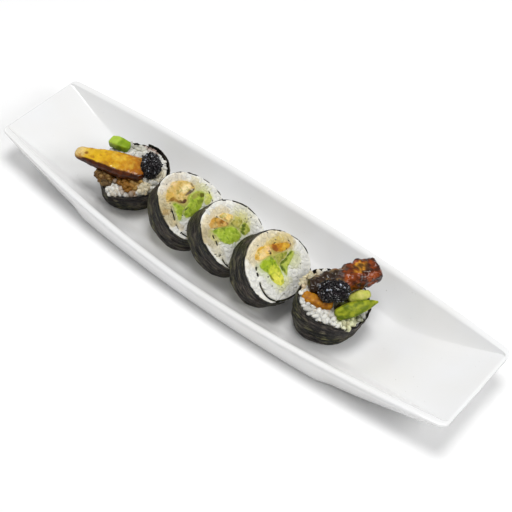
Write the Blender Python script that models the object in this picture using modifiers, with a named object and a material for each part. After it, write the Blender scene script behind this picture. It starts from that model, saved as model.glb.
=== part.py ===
"""A boat-shaped porcelain plate carrying five pieces of a thick maki roll.

Metres, +Z up, +X along the plate. The origin is the middle of the plate's flat base.
Pieces 1 and 5 are the roll's ends, standing on their cut faces with the filling sticking out.
Pieces 2, 3 and 4 are slices that lean back in a row, cut faces up.
"""
import math

import bmesh
import bpy
from mathutils import Matrix, Vector

MM = 0.001
GAP = 0.3 * MM

# ---------------------------------------------------------------- plate
HALF_LENGTH = 200.0 * MM
HALF_WIDTH_MIDDLE = 53.5 * MM
HALF_WIDTH_END = 37.4 * MM
RIM_HEIGHT_MIDDLE = 20.3 * MM
RIM_HEIGHT_END = 29.2 * MM
RIM_CURVE = 1.38
FLOOR = 5.5 * MM
FLOOR_FLAT = 120.0 * MM
FLOOR_CURVE = 1.45
FOOT_HALF = 107.0 * MM
UNDER_END = 24.2 * MM
UNDER_CURVE = 1.62
FOOT_INSET = 3.0 * MM
FOOT_TUCK = 2.4 * MM
LIP = 4.5 * MM
EDGE_ROUND = 2.2 * MM
CORNER_ROUND = 5.0 * MM
WALL_RUN_MIDDLE = 1.30
WALL_RUN_END = 0.90
WALL_CURVE_MIDDLE = 1.7
WALL_CURVE_END = 1.15
MIN_RUN = 1.0 * MM
STATION_STEP = 12.5 * MM

# ---------------------------------------------------------------- roll
REST = FLOOR + GAP
NORI = 0.8 * MM
WRAP_PITCH = NORI + 0.8 * MM
TAIL_TIP = math.radians(152)
TAIL_ROOT = math.radians(218)
TAIL_DEPTH = 8.2 * MM
LAP = math.radians(15)
RING_STEPS = 32
TAIL_STEPS = 6
RICE_STEPS = 24
RICE_PROUD = 0.4 * MM
RICE_BUMP = 0.25 * MM

# Slices: where the lowest edge stands, the lean of the axis from upright, its heading, the
# thickness, the mean radius, then the two lobes of the outline as (size, direction in degrees).
SLICES = {
    "piece_2": dict(toe=(-22.6, -8.8), lean=32.0, heading=-1.2, thick=23.2, radius=25.6,
                    oval=(0.9, 95), lobes=(0.9, 95)),
    "piece_3": dict(toe=(15.3, -10.8), lean=38.3, heading=-2.6, thick=23.3, radius=25.1,
                    oval=(1.4, 100), lobes=(0.4, 110)),
    "piece_4": dict(toe=(52.0, -11.2), lean=41.0, heading=-1.4, thick=22.6, radius=25.7,
                    oval=(0.8, 168), lobes=(0.6, -30)),
}

# Fillings of the slices: outlines on the cut face, as (across, up) in millimetres, clockwise.
FILLINGS = {
    "piece_2": {
        "eel": [(-12.8, 12.4), (-11.0, 15.4), (-7.4, 18.2), (-2.6, 19.8), (2.6, 19.2), (7.2, 16.8),
                (10.4, 13.2), (11.0, 9.8), (9.4, 7.4), (5.6, 7.0), (1.6, 6.4), (-0.6, 4.6), (-3.4, 4.2),
                (-5.4, 5.6), (-7.6, 8.8), (-10.6, 10.6)],
        "avocado_a": [(-11.4, 7.6), (-9.8, 8.0), (-8.2, 6.2), (-6.6, 3.6), (-6.4, 1.6), (-8.8, 0.0),
                      (-11.4, -1.8), (-13.8, -3.6), (-15.2, -2.6), (-13.8, 0.0), (-12.4, 3.4)],
        "avocado_b": [(-6.2, 0.4), (-3.2, 1.6), (0.2, 2.8), (2.4, 5.0), (5.6, 5.9), (9.4, 5.6), (12.4, 3.6),
                      (13.6, 0.8), (11.4, -1.4), (7.6, -3.4), (3.4, -5.6), (-1.4, -6.6), (-5.6, -6.2),
                      (-9.0, -4.6), (-9.6, -2.2), (-8.4, -1.0)],
        "cucumber": [(9.6, -4.0), (12.4, -2.2), (14.8, -0.4), (16.6, -1.6), (15.8, -4.6), (12.6, -6.4),
                     (9.6, -6.2)],
    },
    "piece_3": {
        "eel": [(-12.0, 13.6), (-9.6, 15.9), (-6.0, 16.9), (-3.0, 15.2), (-1.2, 12.6), (0.4, 10.2),
                (1.0, 8.2), (-0.8, 7.8), (-4.0, 9.2), (-7.6, 11.0), (-10.8, 12.0)],
        "egg": [(-1.6, 15.8), (2.4, 15.6), (5.6, 13.2), (7.0, 10.4), (5.2, 8.8), (2.2, 8.6), (1.6, 10.6),
                (0.0, 13.0)],
        "avocado": [(-12.4, 9.6), (-11.2, 10.6), (-8.0, 9.7), (-4.4, 8.0), (-1.0, 6.8), (2.0, 5.0),
                    (4.2, 2.0), (4.5, -1.8), (2.4, -4.2), (-2.0, -4.8), (-6.6, -3.4), (-9.6, -0.8),
                    (-10.8, 2.4), (-11.2, 5.6)],
        "cucumber_a": [(2.4, 7.4), (5.2, 7.9), (8.4, 8.6), (10.8, 6.4), (11.0, 3.4), (8.6, 2.6), (5.6, 1.9),
                       (4.8, 3.8), (3.0, 5.6)],
        "cucumber_b": [(5.4, 0.8), (8.8, 1.7), (11.4, 2.4), (12.6, -0.4), (12.0, -3.4), (9.6, -4.8),
                       (6.4, -4.6), (5.3, -2.4)],
    },
    "piece_4": {
        "eel": [(3.2, 14.2), (6.2, 13.2), (10.2, 11.0), (14.4, 8.6), (16.6, 6.2), (14.6, 4.8), (10.4, 5.2),
                (6.6, 6.8), (4.2, 8.6), (3.2, 11.0)],
        "egg": [(-11.6, 12.6), (-10.4, 15.0), (-7.4, 16.6), (-3.4, 17.0), (0.2, 15.8), (2.3, 13.4),
                (2.2, 10.6), (0.9, 8.8), (-2.0, 9.2), (-6.0, 10.0), (-9.6, 10.6)],
        "avocado": [(-12.0, 7.2), (-8.6, 8.8), (-4.2, 8.2), (-0.8, 7.4), (0.0, 4.0), (-0.4, 0.6),
                    (-0.6, -3.4), (-1.6, -7.6), (-3.8, -11.2), (-6.6, -11.2), (-9.0, -8.0),
                    (-10.2, -3.4), (-9.6, 0.2), (-11.2, 3.6)],
        "cucumber_a": [(0.4, -4.4), (1.4, -0.8), (3.4, 0.6), (7.0, 0.6), (11.0, 1.6), (14.6, 2.2),
                       (15.4, 0.2), (13.0, -1.8), (9.0, -3.2), (5.0, -4.6), (2.4, -7.6), (0.6, -8.4)],
        "cucumber_b": [(1.0, 6.6), (4.2, 6.2), (8.4, 4.5), (12.0, 3.8), (11.0, 2.4), (7.0, 1.5),
                       (3.2, 1.6), (1.0, 1.4), (0.9, 4.0)],
    },
}
FILLING_PROUD = 0.7 * MM

# Roll ends: the base circle on the plate and the rim circle above it, in millimetres; the rim
# plane falls towards one heading.
ENDS = {
    "piece_1": dict(base=(-99.3, -1.6), base_radius=24.9, rim=(-93.9, -4.2, 31.5), rim_radius=26.8,
                    fall=2.5, fall_heading=5, seam=95, crown=3.0, dent=(0.0, 0), dip=(5.5, 262),
                    wave=0.5),
    "piece_5": dict(base=(84.2, -4.2), base_radius=23.6, rim=(89.0, -4.0, 31.5), rim_radius=25.6,
                    fall=7.2, fall_heading=40, seam=70, crown=1.6, dent=(3.6, 192), dip=(0.0, 0),
                    wave=0.7),
}
DENT_WIDTH = math.radians(30)
DIP_WIDTH = math.radians(52)
WALL_ROWS = (0.0, 0.05, 0.5, 1.0)
BASE_TUCK = 0.9 * MM

# Filling that sticks out of the roll ends: spine points, then (width, height) at each, in
# millimetres, and the squareness of the section.
TOPPINGS = {
    "piece_1_eel": dict(
        spine=[(-88.0, -1.6, 34.2), (-97.6, -7.4, 35.4), (-108.6, -13.2, 36.8), (-120.2, -19.6, 38.6),
               (-129.4, -24.0, 40.0)],
        size=[(15.5, 8.0), (16.5, 8.4), (15.6, 8.0), (12.8, 6.6), (9.0, 4.8)], squareness=2.8),
    "piece_1_avocado": dict(
        spine=[(-119.8, 1.2, 38.0), (-114.2, 2.4, 38.4), (-107.6, 4.2, 37.6)],
        size=[(7.6, 6.2), (9.2, 7.0), (7.8, 6.4)], squareness=3.2),
    "piece_5_eel": dict(
        spine=[(76.8, -11.0, 38.4), (81.4, -4.8, 39.0), (87.8, 4.4, 39.8), (94.0, 16.6, 40.4),
               (98.6, 26.2, 39.8)],
        size=[(12.4, 8.6), (16.6, 10.8), (18.0, 12.0), (19.4, 12.8), (18.4, 12.4)], squareness=2.6),
    "piece_5_egg": dict(
        spine=[(78.2, -19.6, 36.2), (84.8, -18.2, 35.0), (92.0, -14.6, 33.4)],
        size=[(6.6, 7.2), (7.6, 7.6), (6.0, 6.4)], squareness=2.8),
    "piece_5_avocado_a": dict(
        spine=[(100.2, -14.6, 32.2), (104.2, -7.6, 33.6), (109.4, 2.0, 34.2), (114.0, 10.2, 33.8)],
        size=[(6.6, 10.6), (7.6, 11.0), (6.6, 8.6), (1.8, 2.4)], squareness=2.2),
    "piece_5_avocado_b": dict(
        spine=[(100.2, 2.4, 30.6), (103.0, 7.4, 32.4), (105.6, 12.6, 32.6)],
        size=[(4.4, 5.0), (6.4, 6.4), (4.6, 4.6)], squareness=2.4),
}
TOPPING_STEPS = 14
ROE = {
    "piece_1_roe": dict(middle=(-83.0, 1.6, 35.6), size=(9.0, 11.0, 7.6), turn=20),
    "piece_5_roe": dict(middle=(89.8, -7.4, 41.4), size=(11.5, 9.6, 7.4), turn=48),
}

COLOURS = {
    "porcelain": ((0.86, 0.86, 0.85), 0.15),
    "nori": ((0.018, 0.02, 0.014), 0.45),
    "rice": ((0.83, 0.82, 0.76), 0.5),
    "eel": ((0.42, 0.16, 0.03), 0.3),
    "egg": ((0.75, 0.42, 0.10), 0.4),
    "avocado": ((0.34, 0.52, 0.05), 0.4),
    "cucumber": ((0.36, 0.48, 0.12), 0.35),
    "roe": ((0.01, 0.01, 0.012), 0.15),
}


# ---------------------------------------------------------------- scene helpers
def clear_scene():
    for thing in list(bpy.data.objects):
        bpy.data.objects.remove(thing, do_unlink=True)


def new_collection(name):
    collection = bpy.data.collections.new(name)
    bpy.context.scene.collection.children.link(collection)
    return collection


def make_material(name):
    colour, roughness = COLOURS[name]
    material = bpy.data.materials.new(name)
    material.use_nodes = True
    shader = material.node_tree.nodes["Principled BSDF"]
    shader.inputs["Base Color"].default_value = (*colour, 1.0)
    shader.inputs["Roughness"].default_value = roughness
    return material


def add_object(name, mesh, collection, material=None, smooth_angle=35):
    thing = bpy.data.objects.new(name, mesh)
    collection.objects.link(thing)
    if material:
        mesh.materials.append(material)
    mesh.shade_smooth()
    mesh.set_sharp_from_angle(angle=math.radians(smooth_angle))
    return thing


def as_cutter(thing):
    thing.hide_render = True
    thing.display_type = "WIRE"


def in_triangles(thing):
    if "triangles" not in thing.modifiers:
        thing.modifiers.new("triangles", "TRIANGULATE")


def cut(target, cutter):
    in_triangles(target)
    in_triangles(cutter)
    boolean = target.modifiers.new("cut_" + cutter.name, "BOOLEAN")
    boolean.operation = "DIFFERENCE"
    boolean.solver = "EXACT"
    boolean.object = cutter


def ease(low, high, value):
    """0 below low, 1 above high, smooth in between."""
    share = min(max((value - low) / (high - low), 0.0), 1.0)
    return share * share * (3 - 2 * share)


def hump(turn, width):
    """1 where the turn is nothing, falling off smoothly both ways round."""
    away = (turn + math.pi) % (2 * math.pi) - math.pi
    return math.exp(-(away / width) ** 2)


def blend(first, second, share):
    return first + (second - first) * share


# ---------------------------------------------------------------- shapes
def loft_mesh(name, rings):
    """Closed skin through rings of equal point count, with a flat face at each end."""
    bm = bmesh.new()
    rows = [[bm.verts.new(point) for point in ring] for ring in rings]
    count = len(rings[0])
    for lower, upper in zip(rows, rows[1:]):
        for i in range(count):
            bm.faces.new((lower[i - 1], lower[i], upper[i], upper[i - 1]))
    bm.faces.new(list(reversed(rows[0])))
    bm.faces.new(rows[-1])
    bmesh.ops.recalc_face_normals(bm, faces=bm.faces)
    mesh = bpy.data.meshes.new(name)
    bm.to_mesh(mesh)
    bm.free()
    return mesh


def sheet_mesh(name, rows):
    """Open surface through rows of equal point count."""
    bm = bmesh.new()
    verts = [[bm.verts.new(point) for point in row] for row in rows]
    for lower, upper in zip(verts, verts[1:]):
        for i in range(len(lower) - 1):
            bm.faces.new((lower[i], lower[i + 1], upper[i + 1], upper[i]))
    mesh = bpy.data.meshes.new(name)
    bm.to_mesh(mesh)
    bm.free()
    return mesh


def thicken(thing, thickness):
    solidify = thing.modifiers.new("thickness", "SOLIDIFY")
    solidify.thickness = thickness
    solidify.offset = 0.0
    solidify.use_even_offset = True


def super_ring(width, height, squareness, steps):
    """Points of a rounded rectangle: |x/a|^n + |y/b|^n = 1."""
    points = []
    for i in range(steps):
        angle = 2 * math.pi * i / steps
        c, s = math.cos(angle), math.sin(angle)
        x = math.copysign(abs(c) ** (2 / squareness), c) * width / 2
        y = math.copysign(abs(s) ** (2 / squareness), s) * height / 2
        points.append((x, y))
    return points


def bump(a, b, phase=0.0):
    """Gentle uneven relief between -1 and 1, with waves about 9 to 15 mm long."""
    one = math.sin(a / (2.1 * MM) + phase) * math.cos(b / (1.7 * MM) - phase)
    two = math.sin((a + b) / (1.5 * MM) + 2 * phase)
    return 0.6 * one + 0.4 * two


# ---------------------------------------------------------------- plate
def half_width(x):
    middle_share = 1 - (x / HALF_LENGTH) ** 2
    width = blend(HALF_WIDTH_END, HALF_WIDTH_MIDDLE, middle_share)
    return width - rounding(HALF_LENGTH - abs(x), CORNER_ROUND)


def rounding(distance, radius):
    """How far a round edge of this radius has fallen away at this distance from its end."""
    if distance >= radius:
        return 0.0
    return radius - math.sqrt(radius ** 2 - (radius - distance) ** 2)


def rim_height(x):
    share = (abs(x) / HALF_LENGTH) ** RIM_CURVE
    return blend(RIM_HEIGHT_MIDDLE, RIM_HEIGHT_END, share)


def floor_height(x):
    share = max(abs(x) - FLOOR_FLAT, 0.0) / (HALF_LENGTH - FLOOR_FLAT)
    return blend(FLOOR, RIM_HEIGHT_END, share ** FLOOR_CURVE)


def under_height(x):
    share = max(abs(x) - FOOT_HALF, 0.0) / (HALF_LENGTH - FOOT_HALF)
    return UNDER_END * share ** UNDER_CURVE


def foot_inset(x):
    tuck = ease(105 * MM, 122 * MM, abs(x)) * (1 - ease(150 * MM, 195 * MM, abs(x)))
    return FOOT_INSET + FOOT_TUCK * tuck


def plate_section(x):
    """Closed outline of the plate across its length, as (y, z), from the base round to the floor."""
    end_share = abs(x) / HALF_LENGTH
    soften = rounding(HALF_LENGTH - abs(x), EDGE_ROUND)
    rim = rim_height(x) - soften
    floor = min(floor_height(x), rim_height(x)) - soften
    under = under_height(x) + soften
    width = half_width(x)
    foot = width - foot_inset(x)
    height = rim - under
    half = [(0.0, under), (0.6 * foot, under), (foot - 2.5 * MM, under)]
    half += [(foot - 0.6 * MM, under + 0.10 * height), (blend(foot, width, 0.42), under + 0.34 * height)]
    half += [(blend(foot, width, 0.82), under + 0.66 * height), (width, rim - 0.18 * height)]
    half += [(width - 0.4 * MM, rim - 0.07 * height), (width - 1.5 * MM, rim)]
    top = width - LIP
    half += [(top + 1.2 * MM, rim)]
    drop = rim - floor
    run = max(drop * blend(WALL_RUN_MIDDLE, WALL_RUN_END, end_share), MIN_RUN)
    curve = blend(WALL_CURVE_MIDDLE, WALL_CURVE_END, end_share)
    for share in (0.04, 0.18, 0.36, 0.56, 0.78, 1.0):
        half.append((top - run * share, floor + drop * (1 - share) ** curve))
    half.append((0.0, floor))
    mirrored = [(-y, z) for y, z in reversed(half[1:-1])]
    return half + mirrored


def plate_stations():
    ends = [0.0, 0.35 * MM, 1.1 * MM, EDGE_ROUND, 3.4 * MM, CORNER_ROUND]
    steps = round((HALF_LENGTH - CORNER_ROUND - FOOT_HALF) / STATION_STEP)
    outer = [blend(HALF_LENGTH - CORNER_ROUND, FOOT_HALF, i / steps) for i in range(1, steps + 1)]
    positive = [HALF_LENGTH - end for end in ends] + outer
    inner_steps = round(2 * FOOT_HALF / (3 * STATION_STEP))
    inner = [blend(FOOT_HALF, -FOOT_HALF, i / inner_steps) for i in range(1, inner_steps)]
    return positive + inner + [-x for x in reversed(positive)]


def build_plate(collection, materials):
    rings = [[Vector((x, y, z)) for y, z in plate_section(x)] for x in plate_stations()]
    add_object("plate", loft_mesh("plate", rings), collection, materials["porcelain"])


# ---------------------------------------------------------------- slices
def outline_radius(spec, angle):
    oval_size, oval_turn = spec["oval"]
    lobe_size, lobe_turn = spec["lobes"]
    oval = oval_size * math.cos(2 * (angle - math.radians(oval_turn)))
    lobe = lobe_size * math.cos(3 * (angle - math.radians(lobe_turn)))
    return (spec["radius"] + oval + lobe) * MM


def sheet_radius(spec, angle):
    """Middle of the nori sheet: a spiral that laps itself, with its inner end turned inwards."""
    turns = (angle - TAIL_ROOT) / (2 * math.pi)
    radius = outline_radius(spec, angle) - NORI / 2 - WRAP_PITCH * (1 - min(turns, 1.0))
    if angle < TAIL_ROOT:
        share = (TAIL_ROOT - angle) / (TAIL_ROOT - TAIL_TIP)
        radius = outline_radius(spec, angle) - NORI / 2 - WRAP_PITCH
        radius -= TAIL_DEPTH * math.sin(math.pi / 2 * min(share, 1.0))
    return radius


def sheet_angles():
    """The whole sheet: its turned-in tail, one turn and the lap."""
    tail = [blend(TAIL_TIP, TAIL_ROOT, i / TAIL_STEPS) for i in range(TAIL_STEPS)]
    full = 2 * math.pi + LAP
    return tail + [TAIL_ROOT + full * i / RING_STEPS for i in range(RING_STEPS + 1)]


def tail_angles(extra):
    """The turned-in tail and the start of the turn, starting a little before the tail does."""
    angles = sheet_angles()[:TAIL_STEPS + 3]
    return [angles[0] - extra] + angles[1:]


def polar(radius, angle, height):
    return Vector((radius * math.cos(angle), radius * math.sin(angle), height))


def slice_frame(spec):
    """Local x across the face, y up the face, z out of the face, origin in the middle of the face."""
    lean = math.radians(spec["lean"])
    heading = math.radians(spec["heading"])
    normal = Vector((math.sin(lean) * math.cos(heading), math.sin(lean) * math.sin(heading), math.cos(lean)))
    across = Vector((0, 0, 1)).cross(normal).normalized()
    up = normal.cross(across)
    reach = -min(outline_radius(spec, a) * math.sin(a) for a in sheet_angles())
    toe = Vector((spec["toe"][0] * MM, spec["toe"][1] * MM, REST))
    middle = toe + up * reach + normal * spec["thick"] * MM
    frame = Matrix((across, up, normal)).transposed().to_4x4()
    frame.translation = middle
    return frame


def nori_sheet(name, spec, angles, collection, material=None, grow=0.0):
    """The wrapping sheet of a slice; grow makes the larger copy that cuts its room in the rice."""
    back, front = -spec["thick"] * MM - 4 * grow, 4 * grow
    rows = [[polar(sheet_radius(spec, a), a, height) for a in angles] for height in (back, front)]
    sheet = add_object(name, sheet_mesh(name, rows), collection, material)
    thicken(sheet, NORI + 2 * grow)
    return sheet


def slice_rice(name, spec, collection, material):
    """Rice out to the wrapped turn of the sheet, uneven on the upper face, before its rooms are cut."""
    angles = [TAIL_ROOT + 2 * math.pi * (i + 0.5) / RICE_STEPS for i in range(RICE_STEPS)]
    inset = NORI / 2 + 1.5 * GAP

    def ring(share):
        points = []
        for a in angles:
            flat = polar(share * (sheet_radius(spec, a) - inset), a, 0.0)
            flat.z = RICE_PROUD * (1 - share ** 4) + RICE_BUMP * bump(flat.x, flat.y, spec["radius"])
            points.append(flat)
        return points

    back = [polar(sheet_radius(spec, a) - inset, a, -spec["thick"] * MM) for a in angles]
    rings = [back] + [ring(share) for share in (1.0, 0.6)]
    return add_object(name, loft_mesh(name, rings), collection, material)


def filling_outline(points, grow):
    """The strip's outline with its corners cut once; grow pushes it outwards along its normals."""
    cut_points = []
    for i, (x, y) in enumerate(points):
        ahead_x, ahead_y = points[(i + 1) % len(points)]
        for share in (0.25, 0.75):
            cut_points.append(Vector((blend(x, ahead_x, share) * MM, blend(y, ahead_y, share) * MM)))
    count = len(cut_points)
    grown = []
    for i, point in enumerate(cut_points):
        run = (cut_points[(i + 1) % count] - cut_points[i - 1]).normalized()
        grown.append((point.x - run.y * grow, point.y + run.x * grow))
    return grown


def filling_block(name, points, thick, collection, material=None, grow=0.0):
    outline = filling_outline(points, grow)
    proud = FILLING_PROUD + 4 * grow
    rings = [[Vector((x, y, z)) for x, y in outline] for z in (-thick - 0.6 * proud, proud)]
    return add_object(name, loft_mesh(name, rings), collection, material)


def build_slice(piece, spec, parts, cutters, materials):
    frame = slice_frame(spec)
    made = [nori_sheet(piece + "_nori", spec, sheet_angles(), parts, materials["nori"])]
    rice = slice_rice(piece + "_rice", spec, parts, materials["rice"])
    made.append(rice)
    extra = GAP / outline_radius(spec, 0)
    room = nori_sheet(piece + "_tail_room", spec, tail_angles(extra), cutters, grow=GAP)
    as_cutter(room)
    cut(rice, room)
    made.append(room)
    for kind, points in FILLINGS[piece].items():
        name = piece + "_" + kind
        material = materials[kind.split("_")[0]]
        made.append(filling_block(name, points, spec["thick"] * MM, parts, material))
        room = filling_block(name + "_room", points, spec["thick"] * MM, cutters, grow=GAP)
        as_cutter(room)
        cut(rice, room)
        made.append(room)
    for thing in made:
        thing.matrix_world = frame


# ---------------------------------------------------------------- roll ends
def end_point(spec, angle, share, height_share, inset=0.0):
    """A point of a roll end at this angle, this share of its radius and of its height."""
    base = Vector((*spec["base"], 0)) * MM
    rim = Vector(spec["rim"]) * MM
    middle = base.lerp(rim, height_share)
    flare = blend(spec["base_radius"], spec["rim_radius"], height_share ** 1.3) * MM
    tuck = BASE_TUCK * (1 - ease(0.0, 0.06, height_share))
    dent_size, dent_heading = spec["dent"]
    dent = dent_size * MM * hump(angle - math.radians(dent_heading), DENT_WIDTH)
    radius = share * (flare - tuck - dent - inset)
    point = middle + polar(radius, angle, 0.0)
    fall = spec["fall"] * MM * share * math.cos(angle - math.radians(spec["fall_heading"]))
    wave = spec["wave"] * MM * math.sin(5 * angle + spec["seam"])
    dip_size, dip_heading = spec["dip"]
    dip = dip_size * MM * share ** 2 * hump(angle - math.radians(dip_heading), DIP_WIDTH)
    rim_z = rim.z - fall - dip + wave * share
    point.z = blend(REST + 0.2 * MM, rim_z, height_share)
    return point


def end_nori(name, spec, collection, material=None, grow=0.0):
    seam = math.radians(spec["seam"])
    full = 2 * math.pi + LAP + grow / (spec["base_radius"] * MM)
    angles = [seam + full * i / RING_STEPS for i in range(RING_STEPS + 1)]
    heights = [share * (1 + 40 * grow) - 20 * grow for share in WALL_ROWS]
    rows = []
    for share in heights:
        row = []
        for a in angles:
            turns = min((a - seam) / (2 * math.pi), 1.0)
            inset = NORI / 2 + WRAP_PITCH * (1 - turns)
            row.append(end_point(spec, a, 1.0, share, inset))
        rows.append(row)
    sheet = add_object(name, sheet_mesh(name, rows), collection, material)
    thicken(sheet, NORI + 2 * grow)
    return sheet


def end_rice(name, spec, collection, material):
    """Rice of a roll end: flat below, sides just inside the sheet, a crowned uneven top."""
    angles = [2 * math.pi * (i + 0.5) / RICE_STEPS for i in range(RICE_STEPS)]
    inset = NORI + WRAP_PITCH + GAP

    def side(height_share):
        return [end_point(spec, a, 1.0, height_share, inset) for a in angles]

    def top(share):
        points = []
        for a in angles:
            point = end_point(spec, a, share, 1.0, inset)
            point.z += spec["crown"] * MM * (1 - share ** 2)
            point.z += (RICE_BUMP * 1.8) * bump(point.x, point.y, spec["crown"])
            points.append(point)
        return points

    rings = [side(h) for h in (0.0, 0.05)] + [top(s) for s in (1.0, 0.75, 0.5, 0.2)]
    return add_object(name, loft_mesh(name, rings), collection, material)


def strip_block(name, spec, collection, material=None, grow=0.0):
    """A strip of filling along a spine, its section following the spine, with rounded ends."""
    spine = [Vector(p) * MM for p in spec["spine"]]
    rings = []
    last = len(spine) - 1
    for i, point in enumerate(spine):
        along = (spine[min(i + 1, last)] - spine[max(i - 1, 0)]).normalized()
        across = along.cross(Vector((0, 0, 1))).normalized()
        up = across.cross(along)
        width, height = (value * MM for value in spec["size"][i])
        ends = [(0.0, 1.0)]
        if i == 0:
            ends = [(-0.30 * height - grow, 0.62), (0.0, 1.0)]
        if i == last:
            ends = [(0.0, 1.0), (0.30 * height + grow, 0.62)]
        for shift, scale in ends:
            ring = super_ring(width * scale + 2 * grow, height * scale + 2 * grow, spec["squareness"],
                              TOPPING_STEPS)
            rings.append([point + along * shift + across * x + up * y for x, y in ring])
    return add_object(name, loft_mesh(name, rings), collection, material)


def roe_mound(name, spec, collection, material=None, grow=0.0):
    """A heap of tiny roe: a squashed ball with an uneven surface."""
    bm = bmesh.new()
    bmesh.ops.create_uvsphere(bm, u_segments=16, v_segments=8, radius=1.0)
    turn = Matrix.Rotation(math.radians(spec["turn"]), 3, "Z")
    size = Vector(spec["size"]) * MM + Vector((grow, grow, grow))
    middle = Vector(spec["middle"]) * MM
    for vert in bm.verts:
        x, y, z = vert.co
        swell = 1 + 0.05 * math.sin(5 * x + 4 * z) * math.cos(6 * y)
        vert.co = middle + turn @ Vector((x * size.x, y * size.y, z * size.z)) * swell
    mesh = bpy.data.meshes.new(name)
    bm.to_mesh(mesh)
    bm.free()
    return add_object(name, mesh, collection, material)


def build_ends(parts, cutters, materials):
    rices = {}
    for piece, spec in ENDS.items():
        end_nori(piece + "_nori", spec, parts, materials["nori"])
        rices[piece] = end_rice(piece + "_rice", spec, parts, materials["rice"])
    rooms = {}
    strips = {}
    for name, spec in TOPPINGS.items():
        material = materials[name.split("_")[2]]
        strips[name] = strip_block(name, spec, parts, material)
        rooms[name] = strip_block(name + "_room", spec, cutters, grow=GAP)
    for name, spec in ROE.items():
        mound = roe_mound(name, spec, parts, materials["roe"])
        rooms[name] = roe_mound(name + "_room", spec, cutters, grow=GAP)
        for topping in TOPPINGS:
            if topping.startswith(name[:7]):
                cut(mound, rooms[topping])
    cut(strips["piece_5_egg"], rooms["piece_5_eel"])
    for name, room in rooms.items():
        as_cutter(room)
        cut(rices[name[:7]], room)


def main():
    clear_scene()
    parts = new_collection("maki_roll_on_plate")
    cutters = new_collection("cutters")
    materials = {name: make_material(name) for name in COLOURS}
    build_plate(parts, materials)
    for piece, spec in SLICES.items():
        build_slice(piece, spec, parts, cutters, materials)
    build_ends(parts, cutters, materials)


main()
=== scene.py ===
# %% [markdown]
# # A thick maki roll on its boat-shaped plate
# A roll of rice and filling wrapped in nori has been cut into five pieces. Three slices lean
# back in a row with their cut faces up, and the roll's two ends stand at the ends of the row
# with the filling sticking out of the top. Everything lies in a long porcelain plate.
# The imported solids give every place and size; this script gives them their finished surfaces.

# %% The frame
import math

import bpy
import numpy as np
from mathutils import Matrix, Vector


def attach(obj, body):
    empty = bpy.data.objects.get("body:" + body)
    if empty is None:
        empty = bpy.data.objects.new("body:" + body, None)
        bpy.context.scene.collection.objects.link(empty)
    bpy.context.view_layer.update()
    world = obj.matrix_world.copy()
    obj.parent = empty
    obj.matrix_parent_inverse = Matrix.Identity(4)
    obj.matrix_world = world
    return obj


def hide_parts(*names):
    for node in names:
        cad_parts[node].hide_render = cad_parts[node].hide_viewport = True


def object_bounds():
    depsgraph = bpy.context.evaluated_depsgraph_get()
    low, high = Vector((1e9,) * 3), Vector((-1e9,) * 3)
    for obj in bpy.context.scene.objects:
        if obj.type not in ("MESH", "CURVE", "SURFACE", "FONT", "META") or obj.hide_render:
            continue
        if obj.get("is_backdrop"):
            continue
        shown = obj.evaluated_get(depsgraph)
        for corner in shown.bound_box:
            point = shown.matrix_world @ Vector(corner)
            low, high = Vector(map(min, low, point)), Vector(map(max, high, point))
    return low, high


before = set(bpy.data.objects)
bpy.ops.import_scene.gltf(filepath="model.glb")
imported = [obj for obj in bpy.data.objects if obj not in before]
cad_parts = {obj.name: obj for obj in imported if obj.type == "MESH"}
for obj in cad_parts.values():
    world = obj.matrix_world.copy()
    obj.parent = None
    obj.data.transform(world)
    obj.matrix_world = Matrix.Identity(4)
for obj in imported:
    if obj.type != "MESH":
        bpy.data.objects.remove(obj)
cad_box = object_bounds()
print("nodes in the frame:", len(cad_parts))

# %% [markdown]
# ## Surfaces from grids
# Nearly every piece here is a closed skin over a grid of points: rows run along it and columns
# run round it. Such soft shapes could also be sculpted, or pulled out of cubes, but a formula
# over a grid gives the same mesh on every run, and its numbers can be read and changed. Working
# with whole arrays keeps even the rice, with its thousands of grains, quick. All sizes are in
# millimetres, and turn into metres only when a mesh is made.

# %% Closed skins
def solid(points):
    """Closed skin over points (rows, columns, 3). Columns wrap round, and the first and last rows
    are each closed by a fan to their middle."""
    rows, cols = points.shape[:2]
    index = np.arange(rows * cols).reshape(rows, cols)
    side = np.roll(index, -1, axis=1)
    quads = np.stack([index[:-1], side[:-1], side[1:], index[1:]], axis=-1).reshape(-1, 4)
    verts = np.vstack([points.reshape(-1, 3), points[0].mean(axis=0), points[-1].mean(axis=0)])
    start, end = rows * cols, rows * cols + 1
    first = np.stack([side[0], index[0], np.full(cols, start)], axis=-1)
    last = np.stack([index[-1], side[-1], np.full(cols, end)], axis=-1)
    return outward({"verts": verts, "quads": quads, "tris": np.vstack([first, last])})


def outward(shape):
    """The same shape with its faces turned outwards: six times the volume is the sum of
    a . (b x c) over its triangles, and it is negative for an inside-out skin."""
    quads, tris, v = shape["quads"], shape["tris"], shape["verts"]
    halves = np.vstack([quads[:, [0, 1, 2]], quads[:, [0, 2, 3]], tris])
    a, b, c = (v[halves[:, i]] for i in range(3))
    if np.einsum("ij,ij->", a, np.cross(b, c)) < 0:
        shape["quads"], shape["tris"] = quads[:, ::-1], tris[:, ::-1]
    return shape


def gather(*shapes):
    """Several shapes as one, each keeping its own closed skin and its tints."""
    starts = np.cumsum([0] + [len(s["verts"]) for s in shapes[:-1]])
    whole = {"verts": np.vstack([s["verts"] for s in shapes])}
    for key in ("quads", "tris"):
        whole[key] = np.vstack([s[key] + start for s, start in zip(shapes, starts)])
    for key in ("tint", "sheet"):
        if all(key in s for s in shapes):
            whole[key] = np.vstack([s[key] for s in shapes])
    return whole


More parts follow.
